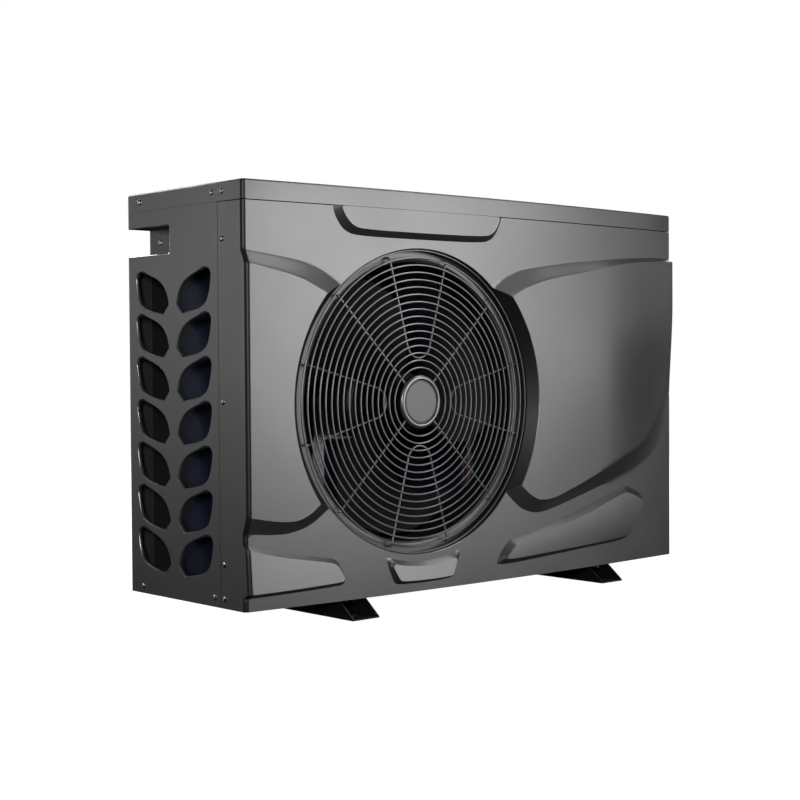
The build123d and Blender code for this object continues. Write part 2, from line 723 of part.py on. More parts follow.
def make_fan_drive():
    """Shaft, nut, motor, its bracket and bolts."""
    nut_h = 10.0
    with BuildPart() as fan_shaft:
        with BuildSketch(fan_face(SHAFT_BACK)):
            Circle(SHAFT_R)
        extrude(amount=SHAFT_BACK - SHAFT_FRONT)
        chamfer(fan_shaft.edges().group_by(Axis.Y)[0], 1)
    fan_shaft.part.label = "fan_shaft"
    export_step(fan_shaft.part, "parts/fan_shaft.step")

    with BuildPart() as fan_nut:
        with BuildSketch(fan_face(HUB_FRONT)):
            RegularPolygon(9.8, 6)
            Circle(SHAFT_R, mode=Mode.SUBTRACT)
        extrude(amount=nut_h)
    fan_nut.part.label = "fan_nut"
    export_step(fan_nut.part, "parts/fan_nut.step")

    bore_r = SHAFT_R + RUNNING
    with BuildPart() as fan_motor:
        with BuildSketch(FAN_SECTION):
            with BuildLine():
                Polyline(
                    (bore_r, MOTOR_FRONT - 6), (16, MOTOR_FRONT - 6), (18, MOTOR_FRONT),
                    (MOTOR_R - 8, MOTOR_FRONT), (MOTOR_R, MOTOR_FRONT + 8), (MOTOR_R, MOTOR_BACK - 8),
                    (MOTOR_R - 6, MOTOR_BACK), (0, MOTOR_BACK), (0, SHAFT_BACK + 1),
                    (bore_r, SHAFT_BACK + 1), close=True,
                )
            make_face()
        revolve(axis=FAN_AXIS)
        with Locations(*motor_bolt_planes()):
            Cylinder(MOTOR_BOLT_R, 24, mode=Mode.SUBTRACT)
    fan_motor.part.label = "fan_motor"
    export_step(fan_motor.part, "parts/fan_motor.step")

    plate_t = 3.0
    rail_w = 24.0
    rail_d = 18.0
    rail_x = 62.0
    foot_z = BODY_Z + SHEET
    with BuildPart() as motor_bracket:
        with BuildSketch(fan_face(MOTOR_BACK + plate_t)):
            Rectangle(2 * rail_x + rail_w, 130)
            with Locations((0, 0)):
                Circle(22, mode=Mode.SUBTRACT)
        extrude(amount=plate_t)
        for edge in (-1, 1):
            with Locations((FAN_X + edge * rail_x, MOTOR_BACK + plate_t, foot_z)):
                Box(rail_w, rail_d, SEAM_Z - foot_z, align=(Align.CENTER, Align.MIN, Align.MIN))
            with Locations((FAN_X + edge * rail_x, MOTOR_BACK + plate_t + 2, foot_z)):
                Box(rail_w - 4, rail_d, SEAM_Z - foot_z, align=(Align.CENTER, Align.MIN, Align.MIN),
                    mode=Mode.SUBTRACT)
        with Locations(*motor_bolt_planes()):
            Cylinder(MOTOR_BOLT_R, 24, mode=Mode.SUBTRACT)
    motor_bracket.part.label = "motor_bracket"
    export_step(motor_bracket.part, "parts/motor_bracket.step")

    with BuildPart() as motor_bolts:
        with Locations(*motor_bolt_planes()):
            Cylinder(MOTOR_BOLT_R, 12, align=CENTRED_DOWN)
            Cylinder(2 * MOTOR_BOLT_R - 1, 4, align=CENTRED_UP)
    motor_bolts.part.label = "motor_bolts"
    export_step(motor_bolts.part, "parts/motor_bolts.step")


MOTOR_BOLT_R = 3.0


def motor_bolt_planes():
    """Four bolts through the bracket plate into the back of the motor."""
    spread = 32.0
    y = MOTOR_BACK + 3.0
    corners = [(FAN_X + sx * spread, y, FAN_Z + sz * spread) for sx in (-1, 1) for sz in (-1, 1)]
    return [Plane(origin=corner, z_dir=(0, 1, 0)) for corner in corners]


def make_evaporator():
    """L-shaped fin block, its end plates and the copper return bends at both ends."""
    bend_outer = 60.0
    height = COIL_TOP - COIL_Z
    side_mid_x = COIL_LEFT + COIL_T / 2
    rear_mid_y = COIL_REAR - COIL_T / 2
    with BuildPart() as evaporator_fins:
        with BuildSketch(Plane.XY.offset(COIL_Z)):
            with BuildLine():
                start = Line((COIL_LEFT, COIL_FRONT), (COIL_LEFT, COIL_REAR - bend_outer))
                outer = TangentArc(start @ 1, (COIL_LEFT + bend_outer, COIL_REAR), tangent=start % 1)
                back = Line(outer @ 1, (COIL_RIGHT, COIL_REAR))
                end = Line(back @ 1, (COIL_RIGHT, COIL_REAR - COIL_T))
                front = Line(end @ 1, (COIL_LEFT + bend_outer, COIL_REAR - COIL_T))
                inner_end = (COIL_LEFT + COIL_T, COIL_REAR - bend_outer)
                inner = TangentArc(front @ 1, inner_end, tangent=front % 1)
                last = Line(inner @ 1, (COIL_LEFT + COIL_T, COIL_FRONT))
                Line(last @ 1, start @ 0)
            make_face()
        extrude(amount=height)
    evaporator_fins.part.label = "evaporator_fins"
    export_step(evaporator_fins.part, "parts/evaporator_fins.step")

    with BuildPart() as evaporator_end_plates:
        with Locations((side_mid_x, COIL_FRONT - SHEET / 2, COIL_Z - 4)):
            Box(COIL_T + 6, SHEET, height + 8, align=CENTRED_UP)
        with Locations((COIL_RIGHT + SHEET / 2, rear_mid_y, COIL_Z - 4)):
            Box(SHEET, COIL_T + 6, height + 8, align=CENTRED_UP)
    evaporator_end_plates.part.label = "evaporator_end_plates"
    export_step(evaporator_end_plates.part, "parts/evaporator_end_plates.step")

    rows = (-11.0, 11.0)
    bends = int(height / (2 * TUBE_PITCH))
    half_pitch = TUBE_PITCH / 2
    with BuildPart() as return_bends:
        for bend in range(bends):
            z = COIL_Z + TUBE_PITCH + 2 * bend * TUBE_PITCH
            for row in rows:
                with BuildSketch(Plane(origin=(side_mid_x + row, COIL_FRONT - SHEET, z), x_dir=(1, 0, 0),
                                       z_dir=(0, -1, 0))):
                    with Locations((0, half_pitch)):
                        Circle(TUBE_R)
                revolve(axis=Axis((side_mid_x + row, COIL_FRONT - SHEET, z), (1, 0, 0)), revolution_arc=180)
                with BuildSketch(Plane(origin=(COIL_RIGHT + SHEET, rear_mid_y + row, z), x_dir=(0, 1, 0),
                                       z_dir=(1, 0, 0))):
                    with Locations((0, half_pitch)):
                        Circle(TUBE_R)
                revolve(axis=Axis((COIL_RIGHT + SHEET, rear_mid_y + row, z), (0, 1, 0)), revolution_arc=180)
    return_bends.part.label = "return_bends"
    export_step(return_bends.part, "parts/return_bends.step")


PARTITION_X = 150.0
PARTITION_TOP = SEAM_Z - 5
GAS_PIPE_Y = 120.0
GAS_PIPE_Z = 345.0
LIQUID_PIPE_Z = 100.0


def make_partition():
    """Bent sheet between the fan and compressor compartments."""
    base = BODY_Z + SHEET
    with BuildPart() as partition:
        with BuildSketch(Plane.XY.offset(base)):
            with BuildLine():
                Polyline(
                    (PARTITION_X, FRONT - 8), (PARTITION_X, 20),
                    (REAR_SPLIT_X - 5, 90), (REAR_SPLIT_X - 5, REAR - 8),
                )
            trace(line_width=SHEET)
        extrude(amount=PARTITION_TOP - base)
        for z in (GAS_PIPE_Z, LIQUID_PIPE_Z):
            with Locations(Plane(origin=(REAR_SPLIT_X - 5, GAS_PIPE_Y, z), z_dir=(1, 0, 0))):
                Cylinder(PIPE_R + 2, 10, mode=Mode.SUBTRACT)
    partition.part.label = "partition"
    export_step(partition.part, "parts/partition.step")


def make_compressor():
    """Upright hermetic compressor on three rubber grommets, with its terminal cover and accumulator."""
    foot_t = 4.0
    axis = Axis((COMPRESSOR_X, COMPRESSOR_Y, 0), (0, 0, 1))
    dome = 26.0
    with BuildPart() as compressor:
        with BuildSketch(upright_section(COMPRESSOR_X, COMPRESSOR_Y)):
            with BuildLine():
                floor = Line((0, COMPRESSOR_Z), (COMPRESSOR_R - 18, COMPRESSOR_Z))
                low = TangentArc(floor @ 1, (COMPRESSOR_R, COMPRESSOR_Z + 18), tangent=(1, 0))
                wall = Line(low @ 1, (COMPRESSOR_R, COMPRESSOR_TOP - dome))
                top = Spline(wall @ 1, (COMPRESSOR_R * 0.7, COMPRESSOR_TOP - 7), (0, COMPRESSOR_TOP),
                             tangents=((0, 1), (-1, 0)))
                Line(top @ 1, floor @ 0)
            make_face()
        revolve(axis=axis)
        with BuildSketch(Plane.XY.offset(COMPRESSOR_Z)):
            with BuildLine():
                corners = [place[:2] for place in compressor_stud_places(0)]
                Polyline(*corners, close=True)
            make_face()
            offset(amount=12, kind=Kind.ARC)
            with Locations(*corners):
                Circle(STUD_R + 3, mode=Mode.SUBTRACT)
        extrude(amount=foot_t)
    compressor.part.label = "compressor"
    export_step(compressor.part, "parts/compressor.step")

    seat = BODY_Z + SHEET
    with BuildPart() as compressor_grommets:
        with Locations(*compressor_stud_places(seat)):
            Cylinder(11, COMPRESSOR_Z - seat, align=CENTRED_UP)
            Cylinder(STUD_R + 3, COMPRESSOR_Z - seat + foot_t + 1, align=CENTRED_UP)
            Cylinder(STUD_R, 2 * (COMPRESSOR_Z - seat) + 30, mode=Mode.SUBTRACT)
    compressor_grommets.part.label = "compressor_grommets"
    export_step(compressor_grommets.part, "parts/compressor_grommets.step")

    stud_top = COMPRESSOR_Z + foot_t + 1
    with BuildPart() as compressor_studs:
        with Locations(*compressor_stud_places(BODY_Z)):
            Cylinder(STUD_R, stud_top - BODY_Z + 8, align=CENTRED_UP)
        with Locations(*compressor_stud_places(stud_top)):
            Cylinder(11, 2, align=CENTRED_UP)
            Cylinder(7, 8, align=CENTRED_UP)
    compressor_studs.part.label = "compressor_studs"
    export_step(compressor_studs.part, "parts/compressor_studs.step")

    with BuildPart() as terminal_cover:
        with BuildSketch(Plane.XZ.offset(-COMPRESSOR_Y + COMPRESSOR_R - 6)):
            with Locations((COMPRESSOR_X, 240)):
                RectangleRounded(52, 62, 10)
        extrude(amount=24)
        with BuildSketch(Plane.XY.offset(COMPRESSOR_Z)):
            with Locations((COMPRESSOR_X, COMPRESSOR_Y)):
                Circle(COMPRESSOR_R)
        extrude(amount=COMPRESSOR_TOP, mode=Mode.SUBTRACT)
    terminal_cover.part.label = "terminal_cover"
    export_step(terminal_cover.part, "parts/terminal_cover.step")

    low, high = 110.0, 320.0
    with BuildPart() as accumulator:
        with BuildSketch(upright_section(ACCUMULATOR_X, COMPRESSOR_Y)):
            with BuildLine():
                Polyline(
                    (0, low), (ACCUMULATOR_R - 14, low), (ACCUMULATOR_R, low + 14),
                    (ACCUMULATOR_R, high - 16), (PIPE_R + 3, high), (0, high), close=True,
                )
            make_face()
        revolve(axis=Axis((ACCUMULATOR_X, COMPRESSOR_Y, 0), (0, 0, 1)))
        strap_l = ACCUMULATOR_X - COMPRESSOR_X - COMPRESSOR_R - ACCUMULATOR_R
        with Locations((COMPRESSOR_X + COMPRESSOR_R, COMPRESSOR_Y, 230)):
            Box(strap_l + 6, 24, 20, align=(Align.MIN, Align.CENTER, Align.CENTER))
        with BuildSketch(Plane.XY.offset(COMPRESSOR_Z)):
            with Locations((COMPRESSOR_X, COMPRESSOR_Y)):
                Circle(COMPRESSOR_R)
        extrude(amount=COMPRESSOR_TOP, mode=Mode.SUBTRACT)
    accumulator.part.label = "accumulator"
    export_step(accumulator.part, "parts/accumulator.step")


def make_heat_exchanger():
    """Plastic water shell with its bolted cap and the titanium coil inside."""
    axis = Axis((SHELL_X, PORT_Y, 0), (0, 0, 1))
    inner_r = SHELL_R - SHELL_T
    port_r = 27.0
    with BuildPart() as exchanger_shell:
        with Locations((SHELL_X, PORT_Y, BODY_Z + SHEET)):
            Cylinder(SHELL_R - 8, SHELL_Z - BODY_Z - SHEET, align=CENTRED_UP)
        with Locations((SHELL_X, PORT_Y, SHELL_Z)):
            Cylinder(SHELL_R, SHELL_TOP - SHELL_Z, align=CENTRED_UP)
        with Locations((SHELL_X, PORT_Y, SHELL_Z + 6)):
            Cylinder(inner_r, SHELL_TOP - SHELL_Z, align=CENTRED_UP, mode=Mode.SUBTRACT)
        for z in (INLET_Z, OUTLET_Z):
            with BuildSketch(Plane(origin=(SHELL_X, PORT_Y, z), x_dir=(0, 1, 0), z_dir=(1, 0, 0))):
                Circle(port_r)
            extrude(amount=2 * SHELL_R, mode=Mode.SUBTRACT)
        with Locations((SHELL_X - SHELL_R, PORT_Y, LIQUID_PIPE_Z)):
            Cylinder(PIPE_R, 3 * SHELL_T, rotation=(0, 90, 0), mode=Mode.SUBTRACT)
        with BuildSketch(upright_section(SHELL_X, PORT_Y)):
            with BuildLine():
                Polyline(
                    (PIPE_R, SHELL_TOP), (SHELL_R, SHELL_TOP), (SHELL_R, SHELL_TOP + 8),
                    (SHELL_R - 20, SHELL_TOP + 14), (PIPE_R, SHELL_TOP + 14), close=True,
                )
            make_face()
        revolve(axis=axis)
    exchanger_shell.part.label = "exchanger_shell"
    export_step(exchanger_shell.part, "parts/exchanger_shell.step")

    coil_r = 36.0
    pitch = 22.0
    low = SHELL_Z + 24
    with BuildPart() as titanium_coil:
        with BuildLine(Plane(origin=(SHELL_X, PORT_Y, low))) as turns:
            Helix(pitch=pitch, height=pitch * 15, radius=coil_r)
        with BuildSketch(Plane(origin=turns.wire() @ 0, z_dir=turns.wire() % 0)):
            Circle(6)
        sweep(path=turns.wire(), is_frenet=True)
    titanium_coil.part.label = "titanium_coil"
    export_step(titanium_coil.part, "parts/titanium_coil.step")


THREAD_R = 33.0
PIPE_END_X = RIGHT + 26.0
TAIL_COLLAR_T = 6.0
SEAL_T = 3.0
TAIL_R = 29.0


def make_water_port(z, name):
    """Pipe stub through the side panel, union tail with its pipe socket, and the union nut round both."""
    axis = Axis((0, PORT_Y, z), (1, 0, 0))
    bore = 22.0
    stub_r = 26.9
    start_x = SHELL_X + sqrt((SHELL_R - SHELL_T) ** 2 - bore ** 2)
    thread_x = RIGHT + 4.0
    with BuildPart() as pipe:
        with BuildSketch(port_section(z)):
            with BuildLine():
                Polyline(
                    (start_x, bore), (start_x, stub_r), (RIGHT - 6, stub_r), (RIGHT - 6, TAIL_R),
                    (thread_x, TAIL_R), (thread_x, THREAD_R), (PIPE_END_X, THREAD_R),
                    (PIPE_END_X, bore), close=True,
                )
            make_face()
        revolve(axis=axis)
    pipe.part.label = f"{name}_pipe"
    export_step(pipe.part, f"parts/{name}_pipe.step")

    collar_x = PIPE_END_X + SEAL_T
    socket_x = collar_x + TAIL_COLLAR_T
    end_x = socket_x + SOCKET_L
    collar_r = THREAD_R - 0.5
    with BuildPart() as tail:
        with BuildSketch(port_section(z)):
            with BuildLine():
                Polyline(
                    (collar_x, bore), (collar_x, collar_r), (socket_x, collar_r), (socket_x, TAIL_R),
                    (end_x - 1.5, TAIL_R), (end_x, TAIL_R - 1.5), (end_x, SOCKET_R), (socket_x, SOCKET_R),
                    (socket_x, bore), close=True,
                )
            make_face()
        revolve(axis=axis)
    tail.part.label = f"{name}_tail"
    export_step(tail.part, f"parts/{name}_tail.step")

    nut_in = THREAD_R + RUNNING
    nut_r = 39.0
    nut_back = thread_x + 2
    lip_x = socket_x + 0.3
    lip_t = 6.0
    ribs = 12
    with BuildPart() as nut:
        with BuildSketch(port_section(z)):
            with BuildLine():
                Polyline(
                    (nut_back, nut_in), (nut_back, nut_r - 1.5), (nut_back + 1.5, nut_r),
                    (lip_x + lip_t - 2, nut_r), (lip_x + lip_t, nut_r - 2),
                    (lip_x + lip_t, TAIL_R + RUNNING), (lip_x, TAIL_R + RUNNING), (lip_x, nut_in),
                    close=True,
                )
            make_face()
        revolve(axis=axis)
        middle_x = (nut_back + lip_x + lip_t) / 2
        length = lip_x + lip_t - nut_back - 6
        for rib in range(ribs):
            angle = 360 * rib / ribs
            outward = (0, cos(radians(angle)), sin(radians(angle)))
            centre = (middle_x, PORT_Y + nut_r * outward[1], z + nut_r * outward[2])
            with Locations(Plane(origin=centre, x_dir=(1, 0, 0), z_dir=outward)):
                Box(length, 6, 4)
    nut.part.label = f"{name}_nut"
    export_step(nut.part, f"parts/{name}_nut.step")


def make_union_seals():
    """Flat rubber seals between the pipe stubs and the union tails."""
    with BuildPart() as union_seals:
        for z in (INLET_Z, OUTLET_Z):
            with BuildSketch(Plane(origin=(PIPE_END_X, PORT_Y, z), x_dir=(0, 1, 0), z_dir=(1, 0, 0))):
                Circle(THREAD_R - 2)
                Circle(24, mode=Mode.SUBTRACT)
            extrude(amount=SEAL_T)
    union_seals.part.label = "union_seals"
    export_step(union_seals.part, "parts/union_seals.step")


def pipe_run(points, bend, radius=PIPE_R):
    """Round tube along straight runs joined by equal bends."""
    with BuildPart(mode=Mode.PRIVATE) as run:
        with BuildLine() as route:
            FilletPolyline(*points, radius=bend)
        with BuildSketch(Plane(origin=route.wire() @ 0, z_dir=route.wire() % 0)):
            Circle(radius)
        sweep(path=route.wire())
    return run.part


VALVE_X = 294.0
VALVE_Y = 62.0
VALVE_Z = 405.0
VALVE_R = 13.0
PORT_STEP = 24.0
EXPANSION_X = 300.0
EXPANSION_Y = 75.0


def make_valves():
    """Four-way reversing valve, its solenoid, and the expansion valve."""
    stub = 12.0
    with BuildPart() as four_way_valve:
        with Locations((VALVE_X, VALVE_Y, VALVE_Z)):
            Cylinder(VALVE_R, 96, rotation=(0, 90, 0))
        with Locations(*[(VALVE_X + k * PORT_STEP, VALVE_Y, VALVE_Z) for k in (-1, 0, 1)]):
            Cylinder(PIPE_R + 1.5, VALVE_R + stub, align=CENTRED_DOWN)
        with Locations((VALVE_X, VALVE_Y, VALVE_Z)):
            Cylinder(PIPE_R + 1.5, VALVE_R + stub, align=CENTRED_UP)
    four_way_valve.part.label = "four_way_valve"
    export_step(four_way_valve.part, "parts/four_way_valve.step")

    with BuildPart() as valve_solenoid:
        with Locations((VALVE_X - 20, VALVE_Y + VALVE_R, VALVE_Z)):
            Box(34, 26, 30, align=(Align.CENTER, Align.MIN, Align.CENTER))
        fillet(valve_solenoid.edges().filter_by(Axis.Y), 4)
    valve_solenoid.part.label = "valve_solenoid"
    export_step(valve_solenoid.part, "parts/valve_solenoid.step")

    with BuildPart() as expansion_valve:
        with Locations((EXPANSION_X, EXPANSION_Y, LIQUID_PIPE_Z - 12)):
            Cylinder(11, 34, align=CENTRED_UP)
            Cylinder(5, 44, align=CENTRED_UP)
        with Locations((EXPANSION_X, EXPANSION_Y, LIQUID_PIPE_Z + 32)):
            Cylinder(21, 30, align=CENTRED_UP)
        fillet(expansion_valve.edges().group_by(Axis.Z)[-1], 6)
    expansion_valve.part.label = "expansion_valve"
    export_step(expansion_valve.part, "parts/expansion_valve.step")


def make_pipes():
    """Copper pipes between the compressor, the valves, the exchanger and the evaporator."""
    low_port = VALVE_Z - VALVE_R - 12
    high_port = VALVE_Z + VALVE_R + 12
    bend = 14.0
    over = high_port + 30
    with BuildPart() as discharge_pipe:
        add(pipe_run([
            (COMPRESSOR_X, COMPRESSOR_Y, COMPRESSOR_TOP), (COMPRESSOR_X, COMPRESSOR_Y, over),
            (VALVE_X, VALVE_Y, over), (VALVE_X, VALVE_Y, high_port),
        ], bend))
    discharge_pipe.part.label = "discharge_pipe"
    export_step(discharge_pipe.part, "parts/discharge_pipe.step")

    with BuildPart() as suction_pipe:
        add(pipe_run([
            (VALVE_X, VALVE_Y, low_port), (VALVE_X, VALVE_Y, low_port - 25),
            (ACCUMULATOR_X, COMPRESSOR_Y, low_port - 25), (ACCUMULATOR_X, COMPRESSOR_Y, 320),
        ], 12))
    suction_pipe.part.label = "suction_pipe"
    export_step(suction_pipe.part, "parts/suction_pipe.step")

    left_port = VALVE_X - PORT_STEP
    over_cap = SHELL_TOP + 40
    with BuildPart() as exchanger_gas_pipe:
        add(pipe_run([
            (left_port, VALVE_Y, low_port), (left_port, VALVE_Y, low_port - 18),
            (left_port, 128, low_port - 18), (left_port, 128, over_cap), (SHELL_X, PORT_Y, over_cap),
            (SHELL_X, PORT_Y, SHELL_TOP - 20),
        ], bend))
    exchanger_gas_pipe.part.label = "exchanger_gas_pipe"
    export_step(exchanger_gas_pipe.part, "parts/exchanger_gas_pipe.step")

    right_port = VALVE_X + PORT_STEP
    header_x = COIL_RIGHT + 29
    with BuildPart() as evaporator_gas_pipe:
        add(pipe_run([
            (right_port, VALVE_Y, low_port), (right_port, VALVE_Y, GAS_PIPE_Z),
            (right_port, GAS_PIPE_Y, GAS_PIPE_Z), (header_x, GAS_PIPE_Y, GAS_PIPE_Z),
        ], bend))
        with Locations((header_x, GAS_PIPE_Y, 170)):
            Cylinder(7, 340, align=CENTRED_UP)
    evaporator_gas_pipe.part.label = "evaporator_gas_pipe"
    export_step(evaporator_gas_pipe.part, "parts/evaporator_gas_pipe.step")

    with BuildPart() as liquid_pipe:
        with Locations((EXPANSION_X + 11, EXPANSION_Y, LIQUID_PIPE_Z)):
            Cylinder(PIPE_R, SHELL_X - SHELL_R - EXPANSION_X - 7, rotation=(0, 90, 0), align=CENTRED_UP)
        add(pipe_run([
            (EXPANSION_X - 11, EXPANSION_Y, LIQUID_PIPE_Z), (EXPANSION_X - 40, EXPANSION_Y, LIQUID_PIPE_Z),
            (EXPANSION_X - 40, GAS_PIPE_Y, LIQUID_PIPE_Z), (header_x, GAS_PIPE_Y, LIQUID_PIPE_Z),
        ], bend))
        with Locations((header_x, GAS_PIPE_Y, LIQUID_PIPE_Z - 20)):
            Cylinder(7, 50, align=CENTRED_UP)
    liquid_pipe.part.label = "liquid_pipe"
    export_step(liquid_pipe.part, "parts/liquid_pipe.step")


BOX_X = (170.0, 450.0)
BOX_Y = (-148.0, 20.0)
BOX_Z = (505.0, 565.0)


def make_electrics():
    """Steel tray over the compressor with its lid and its board, which carries the terminals."""
    size = (BOX_X[1] - BOX_X[0], BOX_Y[1] - BOX_Y[0], BOX_Z[1] - BOX_Z[0])
    middle = ((BOX_X[0] + BOX_X[1]) / 2, (BOX_Y[0] + BOX_Y[1]) / 2)
    with BuildPart() as electrical_box:
        with Locations((*middle, BOX_Z[0])):
            Box(*size, align=CENTRED_UP)
        with Locations((*middle, BOX_Z[0] + SHEET)):
            Box(size[0] - 2 * SHEET, size[1] - 2 * SHEET, size[2], align=CENTRED_UP, mode=Mode.SUBTRACT)
        with Locations((PARTITION_X + 10.6, -60, BOX_Z[0] + 30)):
            Box(2 * 9.4, 60, SHEET)
    electrical_box.part.label = "electrical_box"
    export_step(electrical_box.part, "parts/electrical_box.step")

    with BuildPart() as electrical_lid:
        with Locations((*middle, BOX_Z[1])):
            Box(size[0] + 4, size[1] + 4, SHEET, align=CENTRED_UP)
    electrical_lid.part.label = "electrical_lid"
    export_step(electrical_lid.part, "parts/electrical_lid.step")

    floor = BOX_Z[0] + SHEET
    with BuildPart() as control_board:
        with Locations((BOX_X[0] + 100, middle[1], floor + 8)):
            Box(170, 120, 1.6, align=CENTRED_UP)
        with Locations((BOX_X[0] + 100, middle[1], floor)):
            with GridLocations(150, 100, 2, 2):
                Cylinder(4, 8, align=CENTRED_UP)
        with Locations((BOX_X[0] + 60, middle[1] + 20, floor + 9.6)):
            with GridLocations(32, 30, 2, 2):
                Cylinder(11, 26, align=CENTRED_UP)
        with Locations((BOX_X[0] + 140, middle[1] - 25, floor + 9.6)):
            Box(50, 34, 20, align=CENTRED_UP)
        with Locations((BOX_X[0] + 175, middle[1], floor + 9.6)):
            Box(18, 100, 16, align=CENTRED_UP)
    control_board.part.label = "control_board"
    export_step(control_board.part, "parts/control_board.step")


def make_cable_glands():
    """Two glands in the right side panel, empty."""
    with BuildPart() as cable_glands:
        for y, z in GLAND_PLACES:
            with BuildSketch(Plane(origin=(RIGHT, y, z), x_dir=(0, 1, 0), z_dir=(1, 0, 0))):
                RegularPolygon(14, 6)
            extrude(amount=6)
            with BuildSketch(Plane(origin=(RIGHT + 6, y, z), x_dir=(0, 1, 0), z_dir=(1, 0, 0))):
                Circle(12)
            extrude(amount=12, taper=12)
            with BuildSketch(Plane(origin=(RIGHT - 10, y, z), x_dir=(0, 1, 0), z_dir=(1, 0, 0))):
                Circle(GLAND_R)
            extrude(amount=10)
            with BuildSketch(Plane(origin=(RIGHT - 12, y, z), x_dir=(0, 1, 0), z_dir=(1, 0, 0))):
                Circle(5)
            extrude(amount=40, mode=Mode.SUBTRACT)
    cable_glands.part.label = "cable_glands"
    export_step(cable_glands.part, "parts/cable_glands.step")


def make_pressure_gauge():
    """Refrigerant gauge in the right side panel: case, needle on its pin, and lens."""
    section = Plane(origin=(0, GAUGE_Y, GAUGE_Z), x_dir=(1, 0, 0), z_dir=(0, -1, 0))
    axis = Axis((0, GAUGE_Y, GAUGE_Z), (1, 0, 0))
    dial_x = RIGHT - 6
    pin_r = 1.5
    rim_x = RIGHT + 5
    with BuildPart() as gauge_case:
        with BuildSketch(section):
            with BuildLine():
                Polyline(
                    (RIGHT - 22, 0), (RIGHT - 22, GAUGE_R - 1), (RIGHT, GAUGE_R - 1), (RIGHT, GAUGE_R + 4),
                    (rim_x, GAUGE_R + 3), (rim_x, GAUGE_R - 3), (dial_x, GAUGE_R - 3), (dial_x, pin_r),
                    (dial_x + 6, pin_r), (dial_x + 6, 0), close=True,
                )
            make_face()
        revolve(axis=axis)
    gauge_case.part.label = "gauge_case"
    export_step(gauge_case.part, "parts/gauge_case.step")

    needle_x = dial_x + 2
    start = radians(225)
    with BuildPart() as gauge_needle:
        with BuildSketch(Plane(origin=(needle_x, GAUGE_Y, GAUGE_Z), x_dir=(0, 1, 0), z_dir=(1, 0, 0))):
            Circle(3.2)
            with BuildLine():
                Polyline(
                    (1.6 * sin(start), -1.6 * cos(start)), (19 * cos(start), 19 * sin(start)),
                    (-1.6 * sin(start), 1.6 * cos(start)), (-7 * cos(start), -7 * sin(start)), close=True,
                )
            make_face()
            Circle(pin_r + RUNNING, mode=Mode.SUBTRACT)
        extrude(amount=1)
    gauge_needle.part.label = "gauge_needle"
    export_step(gauge_needle.part, "parts/gauge_needle.step")

    with BuildPart() as gauge_lens:
        with BuildSketch(Plane(origin=(rim_x - 2.5, GAUGE_Y, GAUGE_Z), x_dir=(0, 1, 0), z_dir=(1, 0, 0))):
            Circle(GAUGE_R - 3)
        extrude(amount=2)
    gauge_lens.part.label = "gauge_lens"
    export_step(gauge_lens.part, "parts/gauge_lens.step")


def make_drain_spout():
    """Push-in drain elbow under the base pan."""
    with BuildPart() as drain_spout:
        with Locations((DRAIN_X, DRAIN_Y, BODY_Z)):
            Cylinder(DRAIN_R + 4, 3, align=CENTRED_DOWN)
            Cylinder(DRAIN_R, SHEET + 2, align=CENTRED_UP)
            Cylinder(DRAIN_R - 3, 22, align=CENTRED_DOWN)
            Cylinder(DRAIN_R - 5, 60, mode=Mode.SUBTRACT)
    drain_spout.part.label = "drain_spout"
    export_step(drain_spout.part, "parts/drain_spout.step")


os.makedirs("parts", exist_ok=True)
make_base_pan()
make_foot(-1, "foot_left")
make_foot(1, "foot_right")
make_foot_bolts()
make_front_panel()
make_top_cover()
make_left_side_panel()
make_right_side_panel()
make_access_cover()
make_handle_recess(-1, "left_handle_recess")
make_handle_recess(1, "right_handle_recess")
make_rear_grille()
make_rear_panel()
make_cabinet_screws()
make_guard_rings()
make_guard_spokes()
make_guard_hub()
make_bell_mouth()
make_fan()
make_fan_drive()
make_evaporator()
make_partition()
make_compressor()
make_heat_exchanger()
make_water_port(INLET_Z, "inlet")
make_water_port(OUTLET_Z, "outlet")
make_union_seals()
make_valves()
make_pipes()
make_electrics()
make_cable_glands()
make_pressure_gauge()
make_drain_spout()
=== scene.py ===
"""Looks of the side-discharge pool heat pump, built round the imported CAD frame.

Helpers work in millimetres in the row frame (+X right along the front, +Y to the rear, +Z up)
and are turned into metres when a mesh is made. Every random draw is seeded.
"""
import json
from math import cos, pi, radians, sin, sqrt, tan

import bmesh
import bpy
import numpy as np
from mathutils import Matrix, Vector
from mathutils.geometry import delaunay_2d_cdt


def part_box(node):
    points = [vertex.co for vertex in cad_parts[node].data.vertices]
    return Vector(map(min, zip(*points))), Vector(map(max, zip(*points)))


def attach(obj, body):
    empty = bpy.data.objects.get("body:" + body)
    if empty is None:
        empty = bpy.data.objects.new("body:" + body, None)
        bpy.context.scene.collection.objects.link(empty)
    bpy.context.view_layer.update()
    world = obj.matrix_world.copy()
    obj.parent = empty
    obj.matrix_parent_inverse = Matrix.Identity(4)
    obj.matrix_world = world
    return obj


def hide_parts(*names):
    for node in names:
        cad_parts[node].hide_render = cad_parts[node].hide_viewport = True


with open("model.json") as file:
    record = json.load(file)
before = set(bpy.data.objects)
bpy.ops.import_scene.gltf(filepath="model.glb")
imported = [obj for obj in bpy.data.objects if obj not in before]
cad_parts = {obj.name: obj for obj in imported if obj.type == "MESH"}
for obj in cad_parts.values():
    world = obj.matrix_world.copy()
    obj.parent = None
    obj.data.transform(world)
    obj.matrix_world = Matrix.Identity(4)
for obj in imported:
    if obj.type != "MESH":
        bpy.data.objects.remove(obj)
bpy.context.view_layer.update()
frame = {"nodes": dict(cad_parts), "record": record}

MM = 0.001
CABINET = "cabinet"
FAN = "fan"


def box_mm(node):
    """Lowest and highest corners of a CAD node, in millimetres."""
    low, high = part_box(node)
    return low / MM, high / MM


